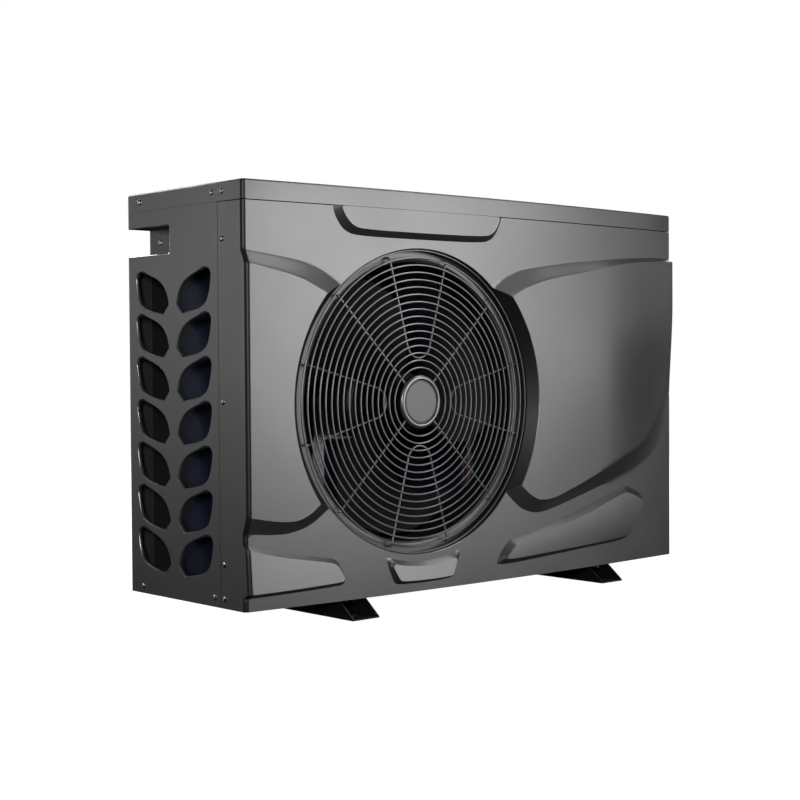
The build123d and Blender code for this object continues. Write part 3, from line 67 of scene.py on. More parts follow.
# ---------------------------------------------------------------- places, from the frame
PANEL_LOW, PANEL_HIGH = box_mm("front_panel")
COVER_LOW, COVER_HIGH = box_mm("top_cover")
LEFT, RIGHT = PANEL_LOW.x, PANEL_HIGH.x
BODY_Z, SEAM_Z = PANEL_LOW.z, PANEL_HIGH.z
FLANGE_Y, REAR = PANEL_HIGH.y, COVER_HIGH.y
WIDTH = RIGHT - LEFT
BOW = 20.0
FRONT = COVER_LOW.y + BOW
CORNER_R = 7.0
RING_LOW, RING_HIGH = box_mm("guard_rings")
FAN_X, FAN_Z = (RING_LOW.x + RING_HIGH.x) / 2, (RING_LOW.z + RING_HIGH.z) / 2
GUARD_Y = (RING_LOW.y + RING_HIGH.y) / 2
HOLE_R = 247.0
HOLE_FLARE = 1.25  # the hole widens by this much for each mm that a wing stands proud
SHEET = 1.2


# ---------------------------------------------------------------- materials
def new_material(name, rgb, roughness, metallic=0.0, **sockets):
    """Principled material with plain sockets; returns the material, its node tree and shader."""
    mat = bpy.data.materials.new(name)
    mat.use_nodes = True
    tree = mat.node_tree
    shader = tree.nodes["Principled BSDF"]
    shader.inputs["Base Color"].default_value = (*rgb, 1)
    shader.inputs["Roughness"].default_value = roughness
    shader.inputs["Metallic"].default_value = metallic
    for key, value in sockets.items():
        shader.inputs[key.replace("_", " ")].default_value = value
    return mat, tree, shader


def noise(tree, scale, detail=2.0, stretch=(1, 1, 1), rough=0.5):
    """Noise of the object's own coordinates; scale is in cycles a metre."""
    coords = tree.nodes.new("ShaderNodeTexCoord")
    mapping = tree.nodes.new("ShaderNodeMapping")
    mapping.inputs["Scale"].default_value = stretch
    tex = tree.nodes.new("ShaderNodeTexNoise")
    tex.inputs["Scale"].default_value = scale
    tex.inputs["Detail"].default_value = detail
    tex.inputs["Roughness"].default_value = rough
    tree.links.new(coords.outputs["Object"], mapping.inputs["Vector"])
    tree.links.new(mapping.outputs["Vector"], tex.inputs["Vector"])
    return tex.outputs["Fac"]


def ramp(tree, value, low, high, start=0.3, end=0.7):
    """Maps a value to a colour between low and high."""
    node = tree.nodes.new("ShaderNodeValToRGB")
    node.color_ramp.elements[0].position = start
    node.color_ramp.elements[0].color = (*low, 1)
    node.color_ramp.elements[1].position = end
    node.color_ramp.elements[1].color = (*high, 1)
    tree.links.new(value, node.inputs["Fac"])
    return node.outputs["Color"]


def span(tree, value, low, high):
    """Maps 0..1 to low..high."""
    node = tree.nodes.new("ShaderNodeMapRange")
    node.inputs["To Min"].default_value = low
    node.inputs["To Max"].default_value = high
    tree.links.new(value, node.inputs["Value"])
    return node.outputs["Result"]


def bump(tree, shader, height, strength, distance):
    """Bumps the shader's normal by a height value."""
    node = tree.nodes.new("ShaderNodeBump")
    node.inputs["Strength"].default_value = strength
    node.inputs["Distance"].default_value = distance
    tree.links.new(height, node.inputs["Height"])
    tree.links.new(node.outputs["Normal"], shader.inputs["Normal"])


def grained(name, rgb, vary, roughness, metallic=0.0, grain=900.0, grain_depth=0.00012, blotch=6.0,
            **sockets):
    """Paint or moulding with a fine grain, a slow change of tone and uneven gloss."""
    mat, tree, shader = new_material(name, rgb, roughness, metallic, **sockets)
    dark = tuple(c * (1 - vary) for c in rgb)
    light = tuple(min(1.0, c * (1 + vary)) for c in rgb)
    speckle = noise(tree, grain, 3.0)
    slow = noise(tree, blotch, 4.0)
    mix = tree.nodes.new("ShaderNodeMath")
    mix.operation = "MULTIPLY_ADD"
    mix.inputs[1].default_value = 0.6
    tree.links.new(speckle, mix.inputs[0])
    half = tree.nodes.new("ShaderNodeMath")
    half.operation = "MULTIPLY"
    half.inputs[1].default_value = 0.4
    tree.links.new(slow, half.inputs[0])
    tree.links.new(half.outputs[0], mix.inputs[2])
    tree.links.new(ramp(tree, mix.outputs[0], dark, light), shader.inputs["Base Color"])
    tree.links.new(span(tree, slow, roughness - 0.05, roughness + 0.07), shader.inputs["Roughness"])
    bump(tree, shader, speckle, 0.35, grain_depth)
    return mat


def brushed(name, rgb, roughness, stretch=(1, 1, 30), metallic=1.0, **sockets):
    """Drawn or brushed metal with fine streaks along one direction."""
    mat, tree, shader = new_material(name, rgb, roughness, metallic, **sockets)
    streaks = noise(tree, 220.0, 4.0, stretch)
    dark = tuple(c * 0.8 for c in rgb)
    tree.links.new(ramp(tree, streaks, dark, rgb), shader.inputs["Base Color"])
    tree.links.new(span(tree, streaks, roughness - 0.06, roughness + 0.12), shader.inputs["Roughness"])
    bump(tree, shader, streaks, 0.15, 0.00008)
    return mat


def spangled(name):
    """Zinc-coated sheet with its crystal spangle."""
    mat, tree, shader = new_material(name, (0.5, 0.51, 0.52), 0.38, 0.9)
    coords = tree.nodes.new("ShaderNodeTexCoord")
    cells = tree.nodes.new("ShaderNodeTexVoronoi")
    cells.inputs["Scale"].default_value = 90.0
    tree.links.new(coords.outputs["Object"], cells.inputs["Vector"])
    tone = ramp(tree, cells.outputs["Distance"], (0.16, 0.165, 0.17), (0.3, 0.305, 0.31))
    tree.links.new(tone, shader.inputs["Base Color"])
    tree.links.new(span(tree, cells.outputs["Distance"], 0.28, 0.5), shader.inputs["Roughness"])
    return mat


def finned(name, rgb, edge, spacing_mm):
    """Coil face: the fins' blue edges, with painted shade for the dark gaps between them, across both legs
    of the coil.
    """
    mat, tree, shader = new_material(name, rgb, 0.45, 0.35)
    coords = tree.nodes.new("ShaderNodeTexCoord")
    split = tree.nodes.new("ShaderNodeSeparateXYZ")
    tree.links.new(coords.outputs["Object"], split.inputs[0])
    along = tree.nodes.new("ShaderNodeMath")
    along.operation = "ADD"
    tree.links.new(split.outputs["X"], along.inputs[0])
    tree.links.new(split.outputs["Y"], along.inputs[1])
    phase = tree.nodes.new("ShaderNodeMath")
    phase.operation = "MULTIPLY"
    phase.inputs[1].default_value = 2 * pi / (spacing_mm * MM)
    tree.links.new(along.outputs[0], phase.inputs[0])
    wave = tree.nodes.new("ShaderNodeMath")
    wave.operation = "SINE"
    tree.links.new(phase.outputs[0], wave.inputs[0])
    fin = tree.nodes.new("ShaderNodeMapRange")
    fin.inputs["From Min"].default_value = -1.0
    tree.links.new(wave.outputs[0], fin.inputs["Value"])
    tree.links.new(ramp(tree, fin.outputs["Result"], rgb, edge, 0.25, 0.8), shader.inputs["Base Color"])
    bump(tree, shader, fin.outputs["Result"], 0.5, 0.0006)
    return mat


MAT = {
    "front_paint": grained("front_paint", (0.19, 0.19, 0.19), 0.06, 0.36, 0.86, grain=1500.0),
    "cabinet_paint": grained("cabinet_paint", (0.17, 0.17, 0.17), 0.08, 0.45, 0.8, grain=1500.0),
    # front_black also stands as painted shade on the front panel's corners, the fan hole's wall and the top
    # cover's front corners
    "front_black": grained("front_black", (0.012, 0.012, 0.012), 0.2, 0.42, 0.0),
    # The next material is a painted highlight: a lighter, glossier copy of the cabinet paint worn by the
    # rounded lips of the openings
    "lip_highlight": grained("lip_highlight", (0.46, 0.46, 0.46), 0.05, 0.3, 0.85, grain=700.0),
    "dark_sheet": grained("dark_sheet", (0.12, 0.12, 0.12), 0.10, 0.47, 0.6),
    "black_sheet": grained("black_sheet", (0.02, 0.02, 0.02), 0.15, 0.45),
    "galvanised": spangled("galvanised"),
    "foot_black": grained("foot_black", (0.012, 0.012, 0.012), 0.2, 0.36),
    "screw_steel": brushed("screw_steel", (0.72, 0.72, 0.7), 0.25),
    "guard_wire": grained("guard_wire", (0.2, 0.2, 0.2), 0.1, 0.32, 0.6, grain=700.0),
    "black_plastic": grained("black_plastic", (0.004, 0.004, 0.005), 0.25, 0.5, Specular_IOR_Level=0.12),
    "hub_chrome": grained("hub_chrome", (0.36, 0.36, 0.36), 0.03, 0.38, 0.9, grain=300.0,
                          grain_depth=0.00003),
    "badge_grey": grained("badge_grey", (0.25, 0.25, 0.25), 0.03, 0.5, 0.2, grain=600.0),
    # The bell mouth is darkened to near black as painted shade inside the duct; its forward rim gets a
    # lighter metallic copy as painted light
    "bell_grey": grained("bell_grey", (0.014, 0.014, 0.014), 0.08, 0.4, 0.0, Specular_IOR_Level=0.25),
    "bell_rim": grained("bell_rim", (0.17, 0.17, 0.17), 0.06, 0.4, 0.7),
    # The motor parts are darkened to near black as painted shade inside the cabinet
    "motor_grey": grained("motor_grey", (0.012, 0.012, 0.013), 0.15, 0.5),
    # The coil's first colour is painted shade in the gaps between fins, the second the fins' blue; both are
    # kept very dark as painted shade inside the cabinet
    "coil_blue": finned("coil_blue", (0.004, 0.006, 0.016), (0.020, 0.034, 0.085), 2.2),
    "copper": brushed("copper", (0.8, 0.42, 0.26), 0.24),
    "compressor_black": grained("compressor_black", (0.012, 0.012, 0.012), 0.2, 0.28),
    "rubber_black": grained("rubber_black", (0.015, 0.015, 0.015), 0.2, 0.7),
    "water_plastic": grained("water_plastic", (0.05, 0.052, 0.056), 0.1, 0.4),
    "nut_plastic": grained("nut_plastic", (0.022, 0.022, 0.024), 0.15, 0.42),
    "titanium": brushed("titanium", (0.5, 0.48, 0.45), 0.3),
    "valve_brass": brushed("valve_brass", (0.75, 0.56, 0.27), 0.28),
    "board_green": grained("board_green", (0.02, 0.14, 0.06), 0.2, 0.4),
    "needle_black": grained("needle_black", (0.01, 0.01, 0.01), 0.2, 0.4),
    "gauge_glass": grained("gauge_glass", (0.93, 0.95, 0.95), 0.02, 0.12, grain=200.0,
                           Transmission_Weight=0.95, IOR=1.45),
}


# ---------------------------------------------------------------- mesh helpers
def piece(name, points, faces, slot, replaces=(), body=CABINET, sharp=35.0, mats=None, face_mats=None):
    """Mesh from points in millimetres, riding on a body and standing for CAD nodes."""
    mesh = bpy.data.meshes.new(name)
    mesh.from_pydata([(p[0] * MM, p[1] * MM, p[2] * MM) for p in points], [], faces)
    for key in (mats or [slot]):
        mesh.materials.append(MAT[key])
    if face_mats is not None:
        mesh.polygons.foreach_set("material_index", face_mats)
    mesh.polygons.foreach_set("use_smooth", [True] * len(mesh.polygons))
    mesh.set_sharp_from_angle(angle=radians(sharp))
    mesh.validate()
    obj = bpy.data.objects.new(name, mesh)
    bpy.context.scene.collection.objects.link(obj)
    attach(obj, body)
    if replaces:
        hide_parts(*replaces)
    return obj


class Builder:
    """Collects points and faces of one piece."""

    def __init__(self):
        self.points, self.faces = [], []

    def ring(self, points):
        """Adds a closed row of points and returns its indices."""
        first = len(self.points)
        self.points.extend(points)
        return list(range(first, len(self.points)))

    def skin(self, rows, closed=True, loop=False):
        """Quads between rows of equal length; loop joins the last row to the first."""
        pairs = list(zip(rows, rows[1:])) + ([(rows[-1], rows[0])] if loop else [])
        for a, b in pairs:
            count = len(a)
            for i in range(count if closed else count - 1):
                j = (i + 1) % count
                self.faces.append((a[i], a[j], b[j], b[i]))

    def cap(self, row, flip=False):
        """Closes a row with one face."""
        self.faces.append(tuple(reversed(row)) if flip else tuple(row))


def lathe_fan(profile, steps=160, closed=True):
    """Piece turned about the fan axis from (radius, depth) points."""
    made = Builder()
    rows = []
    for radius, y in profile:
        rows.append(made.ring([
            (FAN_X + radius * cos(2 * pi * k / steps), y, FAN_Z + radius * sin(2 * pi * k / steps))
            for k in range(steps)
        ]))
    made.skin(rows, loop=closed)
    return made


def tube(made, path, radius, sides=8, closed=False):
    """Round wire along a path of points, added to a builder, with parallel frames."""
    pts = [Vector(p) for p in path]
    count = len(pts)
    rows = []
    normal = None
    for i, p in enumerate(pts):
        before = pts[(i - 1) % count] if (closed or i) else p
        after = pts[(i + 1) % count] if (closed or i < count - 1) else p
        tangent = (after - before).normalized()
        if normal is None:
            helper = Vector((0, 1, 0)) if abs(tangent.y) < 0.9 else Vector((1, 0, 0))
            normal = tangent.cross(helper).normalized()
        normal = (normal - tangent * normal.dot(tangent)).normalized()
        side = tangent.cross(normal)
        rows.append(made.ring([
            tuple(p + (normal * cos(2 * pi * k / sides) + side * sin(2 * pi * k / sides)) * radius)
            for k in range(sides)
        ]))
    made.skin(rows, loop=closed)
    if not closed:
        made.cap(rows[0], flip=True)
        made.cap(rows[-1])


# ---------------------------------------------------------------- front panel
# Raised areas, X from the panel's left edge and Z from its bottom edge. The outer line is where
# the slope leaves the base surface and the inner line is where it meets the raised face.
OFF = 90.0  # how far a line runs past the panel's edge, round the corner
FAN_U, FAN_V = FAN_X - LEFT, FAN_Z - BODY_Z
LEFT_WING = (
    [(-OFF, 539), (0, 539), (63, 531), (110, 524), (145, 512), (173, 495), (215, 465), (FAN_U, FAN_V),
     (190, 172), (149, 143), (122, 124), (96, 115), (69, 111), (35, 113), (0, 116), (-OFF, 118)],
    [(-OFF, 519), (0, 519), (31, 513), (75, 504), (108, 494), (149, 472), (200, 440), (FAN_U, FAN_V),
     (170, 190), (134, 158), (112, 141), (89, 131), (62, 131), (30, 136), (0, 142), (-OFF, 147)],
)
RIGHT_WING = (
    [(FAN_U, FAN_V), (480, 478), (515, 502), (540, 515), (561, 523), (583, 527), (640, 535), (691, 541.5),
     (780, 550), (878, 558), (955, 561.6), (1000, 560), (1000 + OFF, 558), (1000 + OFF, 318), (1000, 318),
     (984, 280), (972, 240), (956, 211), (933, 192), (901, 176), (840, 158), (728, 131), (640, 110),
     (604, 107), (568, 117), (539, 140), (500, 180)],
    [(FAN_U, FAN_V), (500, 452), (540, 480), (570, 494), (613, 507), (660, 516), (715, 524), (828, 544),
     (905, 552), (996, 555), (1000 + OFF, 553), (1000 + OFF, 357), (998, 357), (980, 308), (965, 280),
     (944, 251), (920, 230), (897, 215), (828, 191), (715, 153), (655, 135), (625, 130), (596, 132),
     (561, 155), (520, 195)],
)
TOP_TAB = (
    [(160, 700), (162, 613), (170, 592), (184, 575), (206, 567), (343, 566), (480, 567), (502, 575),
     (516, 592), (524, 613), (526, 700)],
    [(171, 700), (173, 616), (181, 598), (194, 584), (212, 577), (343, 576), (476, 577), (496, 583),
     (508, 597), (515, 616), (517, 700)],
)
BOTTOM_TAB = (
    [(264, 57), (270, 60), (300, 51), (343, 47.5), (386, 51), (417, 60), (424, 55), (408, 20), (400, 14.5),
     (343, 13), (287, 14.5), (279, 20)],
    [(272, 50), (302, 43.5), (343, 40.5), (384, 43.5), (415, 50), (402, 23), (397, 19.5), (343, 18.5),
     (291, 20), (286, 24)],
)
RIGHT_WEDGE = (
    [(514, 24), (728, 35), (842, 40), (862, 46), (888, 66), (911, 102), (903, 121), (888, 128), (857, 140),
     (842, 138), (802, 127), (728, 106), (619, 82), (545, 69), (532, 62), (507, 33)],
    [(530, 34), (728, 42), (842, 47), (856, 51), (880, 70), (900, 102), (894, 114), (855, 128), (842, 127),
     (802, 116), (728, 95), (619, 72), (552, 59), (545, 55), (524, 38)],
)
LEFT_WEDGE = (
    [(-OFF, 103), (0, 101), (9, 98), (63, 84), (145, 70.5), (164, 66), (172, 58), (184, 34), (180, 26),
     (172, 24), (80, 21), (0, 19.5), (-OFF, 19)],
    [(-OFF, 95), (0, 93), (12, 90), (63, 77), (145, 63.5), (158, 60), (165, 54), (175, 36), (172, 32),
     (165, 31), (80, 28), (0, 26.5), (-OFF, 26)],
)


def ease(x, low, high):
    """Smooth step from 0 at low to 1 at high."""
    t = np.clip((x - low) / (high - low), 0, 1)
    return t * t * (3 - 2 * t)


def left_wing_height(u, v):
    return 9.0 + 3.0 * np.clip(u / 160.0, 0, 1)


def right_wing_height(u, v):
    edge = 8.5 * ease(v, 290, 480)
    dome = 2.5 * np.exp(-(((u - 800) / 120.0) ** 2 + ((v - 360) / 110.0) ** 2))
    return 12.0 + dome + (edge - 12.0) * ease(u, 780, 1005)


def flat_height(value):
    return lambda u, v: np.full_like(u, value)


def tab_height(u, v):
    """The bottom tab's face leans back toward its top edge."""
    return 7.0 - 1.8 * np.clip((v - 35) / 18.0, -1.2, 1.2)


def wedge_height(u, v):
    """The wedge's face is domed: fullest along a line from its left tip."""
    above_line = (v - (56 + (u - 520) * 0.14)) / 40.0
    return 8.6 - 2.2 * np.clip(above_line, -1.2, 1.2) - 1.6 * above_line ** 2


def left_wedge_height(u, v):
    return 8.6 - 2.6 * np.clip((v - 58) / 35.0, -1.2, 1.2)


FEATURES = [
    (LEFT_WING, left_wing_height), (RIGHT_WING, right_wing_height), (TOP_TAB, flat_height(8.0)),
    (BOTTOM_TAB, tab_height), (RIGHT_WEDGE, wedge_height), (LEFT_WEDGE, left_wedge_height),
]


def smooth_loop(points, step, rounds=2):
    """Corner-cuts a closed outline and spaces its points evenly."""
    loop = [np.array(p, float) for p in points]
    for _ in range(rounds):
        cut = []
        for a, b in zip(loop, loop[1:] + loop[:1]):
            cut += [a * 0.78 + b * 0.22, a * 0.22 + b * 0.78]
        loop = cut
    spaced = []
    for a, b in zip(loop, loop[1:] + loop[:1]):
        parts = max(1, int(np.hypot(*(b - a)) / step))
        spaced += [a + (b - a) * k / parts for k in range(parts)]
    return np.array(spaced)


def distance_to(loop, u, v):
    """Distance from points to a closed polyline."""
    best = np.full(u.shape, 1e9)
    ends = np.roll(loop, -1, axis=0)
    for a, b in zip(loop, ends):
        d = b - a
        length = max(float(d @ d), 1e-12)
        t = np.clip(((u - a[0]) * d[0] + (v - a[1]) * d[1]) / length, 0, 1)
        best = np.minimum(best, np.hypot(u - a[0] - t * d[0], v - a[1] - t * d[1]))
    return best


def inside(loop, u, v):
    """True where a point is inside a closed polyline."""
    odd = np.zeros(u.shape, bool)
    ends = np.roll(loop, -1, axis=0)
    for a, b in zip(loop, ends):
        if a[1] == b[1]:
            continue
        crosses = (a[1] > v) != (b[1] > v)
        odd ^= crosses & (u < (b[0] - a[0]) * (v - a[1]) / (b[1] - a[1]) + a[0])
    return odd


def rounded_step(t, edge=0.04):
    """Straight slope from 0 to 1 with small rounds where it starts and ends."""
    t = np.clip(t, 0, 1)
    rise = 1 / (1 - edge)
    low = rise * t * t / (2 * edge)
    high = 1 - rise * (1 - t) ** 2 / (2 * edge)
    return np.where(t < edge, low, np.where(t > 1 - edge, high, rise * (t - edge / 2)))


class Relief:
    """How far the front panel's face stands out from its bowed base surface."""

    def __init__(self):
        self.parts = []
        for (outer, inner), height in FEATURES:
            self.parts.append((smooth_loop(outer, 5.0), smooth_loop(inner, 5.0), height))

    def at(self, u, v):
        u, v = np.asarray(u, float), np.asarray(v, float)
        total = np.zeros(u.shape)
        for outer, inner, height in self.parts:
            near = (u > outer[:, 0].min()) & (u < outer[:, 0].max())
            near &= (v > outer[:, 1].min()) & (v < outer[:, 1].max())
            if not near.any():
                continue
            uu, vv = u[near], v[near]
            in_outer, in_inner = inside(outer, uu, vv), inside(inner, uu, vv)
            share = np.where(in_inner, 1.0, 0.0)
            band = in_outer & ~in_inner
            if band.any():
                d_out = distance_to(outer, uu[band], vv[band])
                d_in = distance_to(inner, uu[band], vv[band])
                share[band] = rounded_step(d_out / np.maximum(d_out + d_in, 1e-6))
            total[near] += share * height(np.clip(uu, 0, WIDTH), vv)
        return total


SEAM_GAP = 0.8  # between the front panel and its neighbours
PANEL_SKIN = 2.2
KEEP_OFF = 1.6  # crease lines keep this far from the hole's edge, and inside points from them
NET_KEEP_OFF = 2.0  # inside points keep this far from the hole's edge
FINE_STEP = 2.6  # between points on the slopes
COARSE_STEP = 9.0  # between columns across the flat of the panel


def panel_place(u, v, proud):
    """Point of the front panel from its unrolled place and how far it stands proud."""
    quarter = CORNER_R * pi / 2
    side = -1 if u < WIDTH / 2 else 1
    from_edge = u if side < 0 else WIDTH - u
    edge_x = LEFT if side < 0 else RIGHT
    face_x = max(from_edge, CORNER_R)
    x = edge_x - side * face_x
    face_y = FRONT - BOW * (1 - (x / (WIDTH / 2)) ** 2)
    if from_edge >= CORNER_R:
        return (x, face_y - proud, BODY_Z + v)
    along = CORNER_R - from_edge
    if along < quarter:
        angle = along / CORNER_R
        return (edge_x - side * CORNER_R * (1 - sin(angle)),
                face_y + CORNER_R * (1 - cos(angle)) - proud, BODY_Z + v)
    start_y = face_y + CORNER_R
    back = (along - quarter) / flange_length()
    y = start_y + back * (FLANGE_Y - SEAM_GAP - start_y)
    return (edge_x, y - proud * (1 - min(1.0, back * 1.6)), BODY_Z + v)


def flange_length():
    """Unrolled length of one side flange behind its corner."""
    face_y = FRONT - BOW * (1 - ((WIDTH / 2 - CORNER_R) / (WIDTH / 2)) ** 2)
    return FLANGE_Y - face_y - CORNER_R


def front_panel():
    """Bowed moulding with its raised areas, wrapped corners and the fan hole's wall."""
    relief = Relief()
    height = SEAM_Z - SEAM_GAP - BODY_Z
    reach = CORNER_R * (pi / 2 - 1) + flange_length()
    low_u, high_u = -reach, WIDTH + reach
    points, edges = [], []

    def add_line(line, closed=False):
        first = len(points)
        points.extend([(float(a), float(b)) for a, b in line])
        last = len(points) - 1
        edges.extend([(i, i + 1) for i in range(first, last)])
        if closed:
            edges.append((last, first))

    # the hole's edge lies on a cone, so it is wider where a wing stands proud
    steps = 360
    angles = np.arange(steps) * 2 * pi / steps
    rim = np.full(steps, HOLE_R)
    for _ in range(3):
        rim = HOLE_R + HOLE_FLARE * relief.at(FAN_U + rim * np.cos(angles), FAN_V + rim * np.sin(angles))
    rim_line = np.stack([FAN_U + rim * np.cos(angles), FAN_V + rim * np.sin(angles)], 1)
    add_line(rim_line, closed=True)

    # outline, with close points down both corners
    corner_u = [CORNER_R - CORNER_R * pi / 2 * k / 6 for k in range(7)]
    columns = sorted({low_u, high_u, *corner_u, *[WIDTH - c for c in corner_u]} |
                     {low_u * k / 4 for k in range(1, 4)} | {WIDTH + reach * k / 4 for k in range(1, 4)})
    flat = np.arange(CORNER_R + 4, WIDTH - CORNER_R - 3, COARSE_STEP)
    across = sorted(set(columns) | set(float(x) for x in flat))
    up = list(np.linspace(0, height, 90))
    bottom, top = [(a, 0.0) for a in across], [(a, height) for a in reversed(across[:-1])]
    right, left = [(high_u, b) for b in up[1:]], [(low_u, b) for b in reversed(up[1:-1])]
    add_line(bottom + right + top + left, closed=True)

    # straight lines down each corner, where its painted shade starts and ends
    dark_start, dark_end = CORNER_R - 1.2, CORNER_R - CORNER_R * pi / 2 + 0.8
    for border in (dark_start, dark_end, WIDTH - dark_start, WIDTH - dark_end):
        add_line([(border, b) for b in (up[0] + 0.01, *up[1:-1], up[-1] - 0.01)])

    lines = [line for outer, inner, _ in relief.parts for line in (outer, inner)]
    for line in lines:
        radius = np.hypot(line[:, 0] - FAN_U, line[:, 1] - FAN_V)
        line_angle = np.arctan2(line[:, 1] - FAN_V, line[:, 0] - FAN_U) % (2 * pi)
        rim_near = np.interp(line_angle, np.append(angles, 2 * pi), np.append(rim, rim[0]))
        good = (radius > rim_near + KEEP_OFF) & (line[:, 0] > low_u + 1) & (line[:, 0] < high_u - 1)
        good &= (line[:, 1] > 1) & (line[:, 1] < height - 1)
        run = []
        for p, ok in zip(list(line) + [line[0]], list(good) + [good[0]]):
            if ok:
                run.append(p)
            elif run:
                add_line(run)
                run = []
        if run:
            add_line(run)

    # inside points: a coarse net, and a close one on the slopes and corners
    coarse_u, coarse_v = np.meshgrid(np.array(across[1:-1]), np.array(up[1:-1]))
    fine_u, fine_v = np.meshgrid(np.arange(low_u + 2, high_u - 2, FINE_STEP),
                                 np.arange(2.0, height - 2, FINE_STEP))
    fine_u, fine_v = fine_u.ravel(), fine_v.ravel()
    sloped = np.zeros(fine_u.shape, bool)
    for outer, inner, _ in relief.parts:
        sloped |= inside(outer, fine_u, fine_v) & ~inside(inner, fine_u, fine_v)
    net_u = np.concatenate([coarse_u.ravel(), fine_u[sloped]])
    net_v = np.concatenate([coarse_v.ravel(), fine_v[sloped]])
    clear = np.hypot(net_u - FAN_U, net_v - FAN_V)
    net_angle = np.arctan2(net_v - FAN_V, net_u - FAN_U) % (2 * pi)
    rim_there = np.interp(net_angle, np.append(angles, 2 * pi), np.append(rim, rim[0]))
    good = clear > rim_there + NET_KEEP_OFF
    for line in lines:
        good &= distance_to(line, net_u, net_v) > KEEP_OFF
    points.extend(zip(net_u[good].tolist(), net_v[good].tolist()))

    flat_points, _, faces, *_ = delaunay_2d_cdt([Vector(p) for p in points], edges, [], 0, 1e-5, False)
    uv = np.array([tuple(p) for p in flat_points])
    centres = np.array([uv[list(face)].mean(0) for face in faces])
    in_hole = inside(rim_line, centres[:, 0], centres[:, 1])
    kept = [tuple(face) for face, gone in zip(faces, in_hole) if not gone]
    proud = relief.at(uv[:, 0], uv[:, 1])
    made = Builder()
    made.points = [panel_place(u, v, p) for (u, v), p in zip(uv, proud)]
    made.faces = [tuple(reversed(f)) if face_up(uv, f) else f for f in kept]
    skin_faces = len(made.faces)

    # the hole's wall: a rolled edge, the flare down to the bore, then straight back to the flange ring
    roll, bore_depth, wall_back, wall_skin = 1.0, 2.6, FRONT - 0.4, 2.5
    bore_r = HOLE_R - roll
    rim_proud = relief.at(rim_line[:, 0], rim_line[:, 1])
    edge_row, roll_row, bore_row, back_row, inner_row = [], [], [], [], []
    for k in range(steps):
        x, y, z = panel_place(rim_line[k, 0], rim_line[k, 1], rim_proud[k])
        base_y = y + rim_proud[k]
        c, s = cos(angles[k]), sin(angles[k])
        edge_row.append((x, y, z))
        roll_r = rim[k] - roll
        roll_row.append((FAN_X + roll_r * c, y + roll, FAN_Z + roll_r * s))
        bore_row.append((FAN_X + bore_r * c, base_y + bore_depth, FAN_Z + bore_r * s))
        back_row.append((FAN_X + bore_r * c, wall_back, FAN_Z + bore_r * s))
        inner_row.append((FAN_X + (bore_r + wall_skin) * c, wall_back, FAN_Z + (bore_r + wall_skin) * s))
    rows = [made.ring(r) for r in (edge_row, roll_row, bore_row, back_row, inner_row)]
    made.skin(rows)
    # the tight upright corners get the black paint as painted shade, like the hole's wall
    middle_u = np.array([uv[list(f)].mean(0)[0] for f in kept])
    from_edge = np.minimum(middle_u, WIDTH - middle_u)
    corner = (from_edge < dark_start) & (from_edge > dark_end)
    flange = from_edge <= dark_end
    wall_faces = len(made.faces) - skin_faces
    # past its rolled edge the hole's wall gets the black paint as painted shade
    face_mats = (corner + 2 * flange).tolist() + [0] * steps + [1] * (wall_faces - steps)
    obj = piece("front_panel_shell", made.points, made.faces, "front_paint", ("front_panel",),
                mats=["front_paint", "front_black", "cabinet_paint"], face_mats=face_mats)
    weld(obj, 0.02, (0, -1, 0), 15.0)
    thicken(obj, PANEL_SKIN)
    return obj


def face_up(uv, face):
    """True if a flat face winds so that it would point to the rear."""
    a, b, c = (uv[i] for i in face[:3])
    return (b[0] - a[0]) * (c[1] - a[1]) - (b[1] - a[1]) * (c[0] - a[0]) < 0


def weld(obj, distance_mm, outward, sharp=32.0):
    """Merges points that lie together and makes faces point outward, or along a given direction."""
    work = bmesh.new()
    work.from_mesh(obj.data)
    bmesh.ops.remove_doubles(work, verts=work.verts, dist=distance_mm * MM)
    bmesh.ops.recalc_face_normals(work, faces=work.faces)
    facing = sum((f.normal * f.calc_area() for f in work.faces), Vector())
    if facing.dot(Vector(outward)) < 0:
        bmesh.ops.reverse_faces(work, faces=work.faces)
    work.to_mesh(obj.data)
    work.free()
    obj.data.polygons.foreach_set("use_smooth", [True] * len(obj.data.polygons))
    obj.data.set_sharp_from_angle(angle=radians(sharp))


def thicken(obj, thickness_mm):
    """Gives a sheet its thickness on the inner side, with crisp open edges."""
    mesh = obj.data
    used = {}
    for face in mesh.polygons:
        for key in face.edge_keys:
            used[key] = used.get(key, 0) + 1
    flag = mesh.attributes.get("sharp_edge") or mesh.attributes.new("sharp_edge", "BOOLEAN", "EDGE")
    for edge in mesh.edges:
        if used.get(edge.key, 0) == 1:
            flag.data[edge.index].value = True
    mod = obj.modifiers.new("thickness", "SOLIDIFY")
    mod.thickness = thickness_mm * MM
    mod.offset = -1


# ---------------------------------------------------------------- fan guard, hub and fan
RINGS = 17
RING_STEPS = 200
RING_PITCH = 11.79
FIRST_RING_R = 55.35
RING_WIRE_R = 1.45
SPOKE_WIRE_R = 1.7
SPOKE_Y = GUARD_Y + 3.27
SPOKE_IN_R, SPOKE_OUT_R = 43.5, 238.0
HAIRPIN_ANGLE, HAIRPIN_IN_R = 15.0, 71.0


def round_about(radius, angle, y):
    """Point at a radius and an angle in degrees from +X about the fan axis."""
    return Vector((FAN_X + radius * cos(radians(angle)), y, FAN_Z + radius * sin(radians(angle))))


def rounded_path(corners, radii, steps=7):
    """Polyline with an arc of the given radius at each inner corner."""
    path = [corners[0]]
    for before, corner, after, radius in zip(corners, corners[1:], corners[2:], radii):
        a, b = (before - corner).normalized(), (after - corner).normalized()
        half = a.angle(b) / 2
        reach = radius / tan(half)
        middle = corner + (a + b).normalized() * (radius / sin(half))
        start, end = corner + a * reach - middle, corner + b * reach - middle
        total = start.angle(end)
        for k in range(steps + 1):
            share = k / steps
            path.append(middle + (start * sin((1 - share) * total) + end * sin(share * total)) / sin(total))
    path.append(corners[-1])
    return path


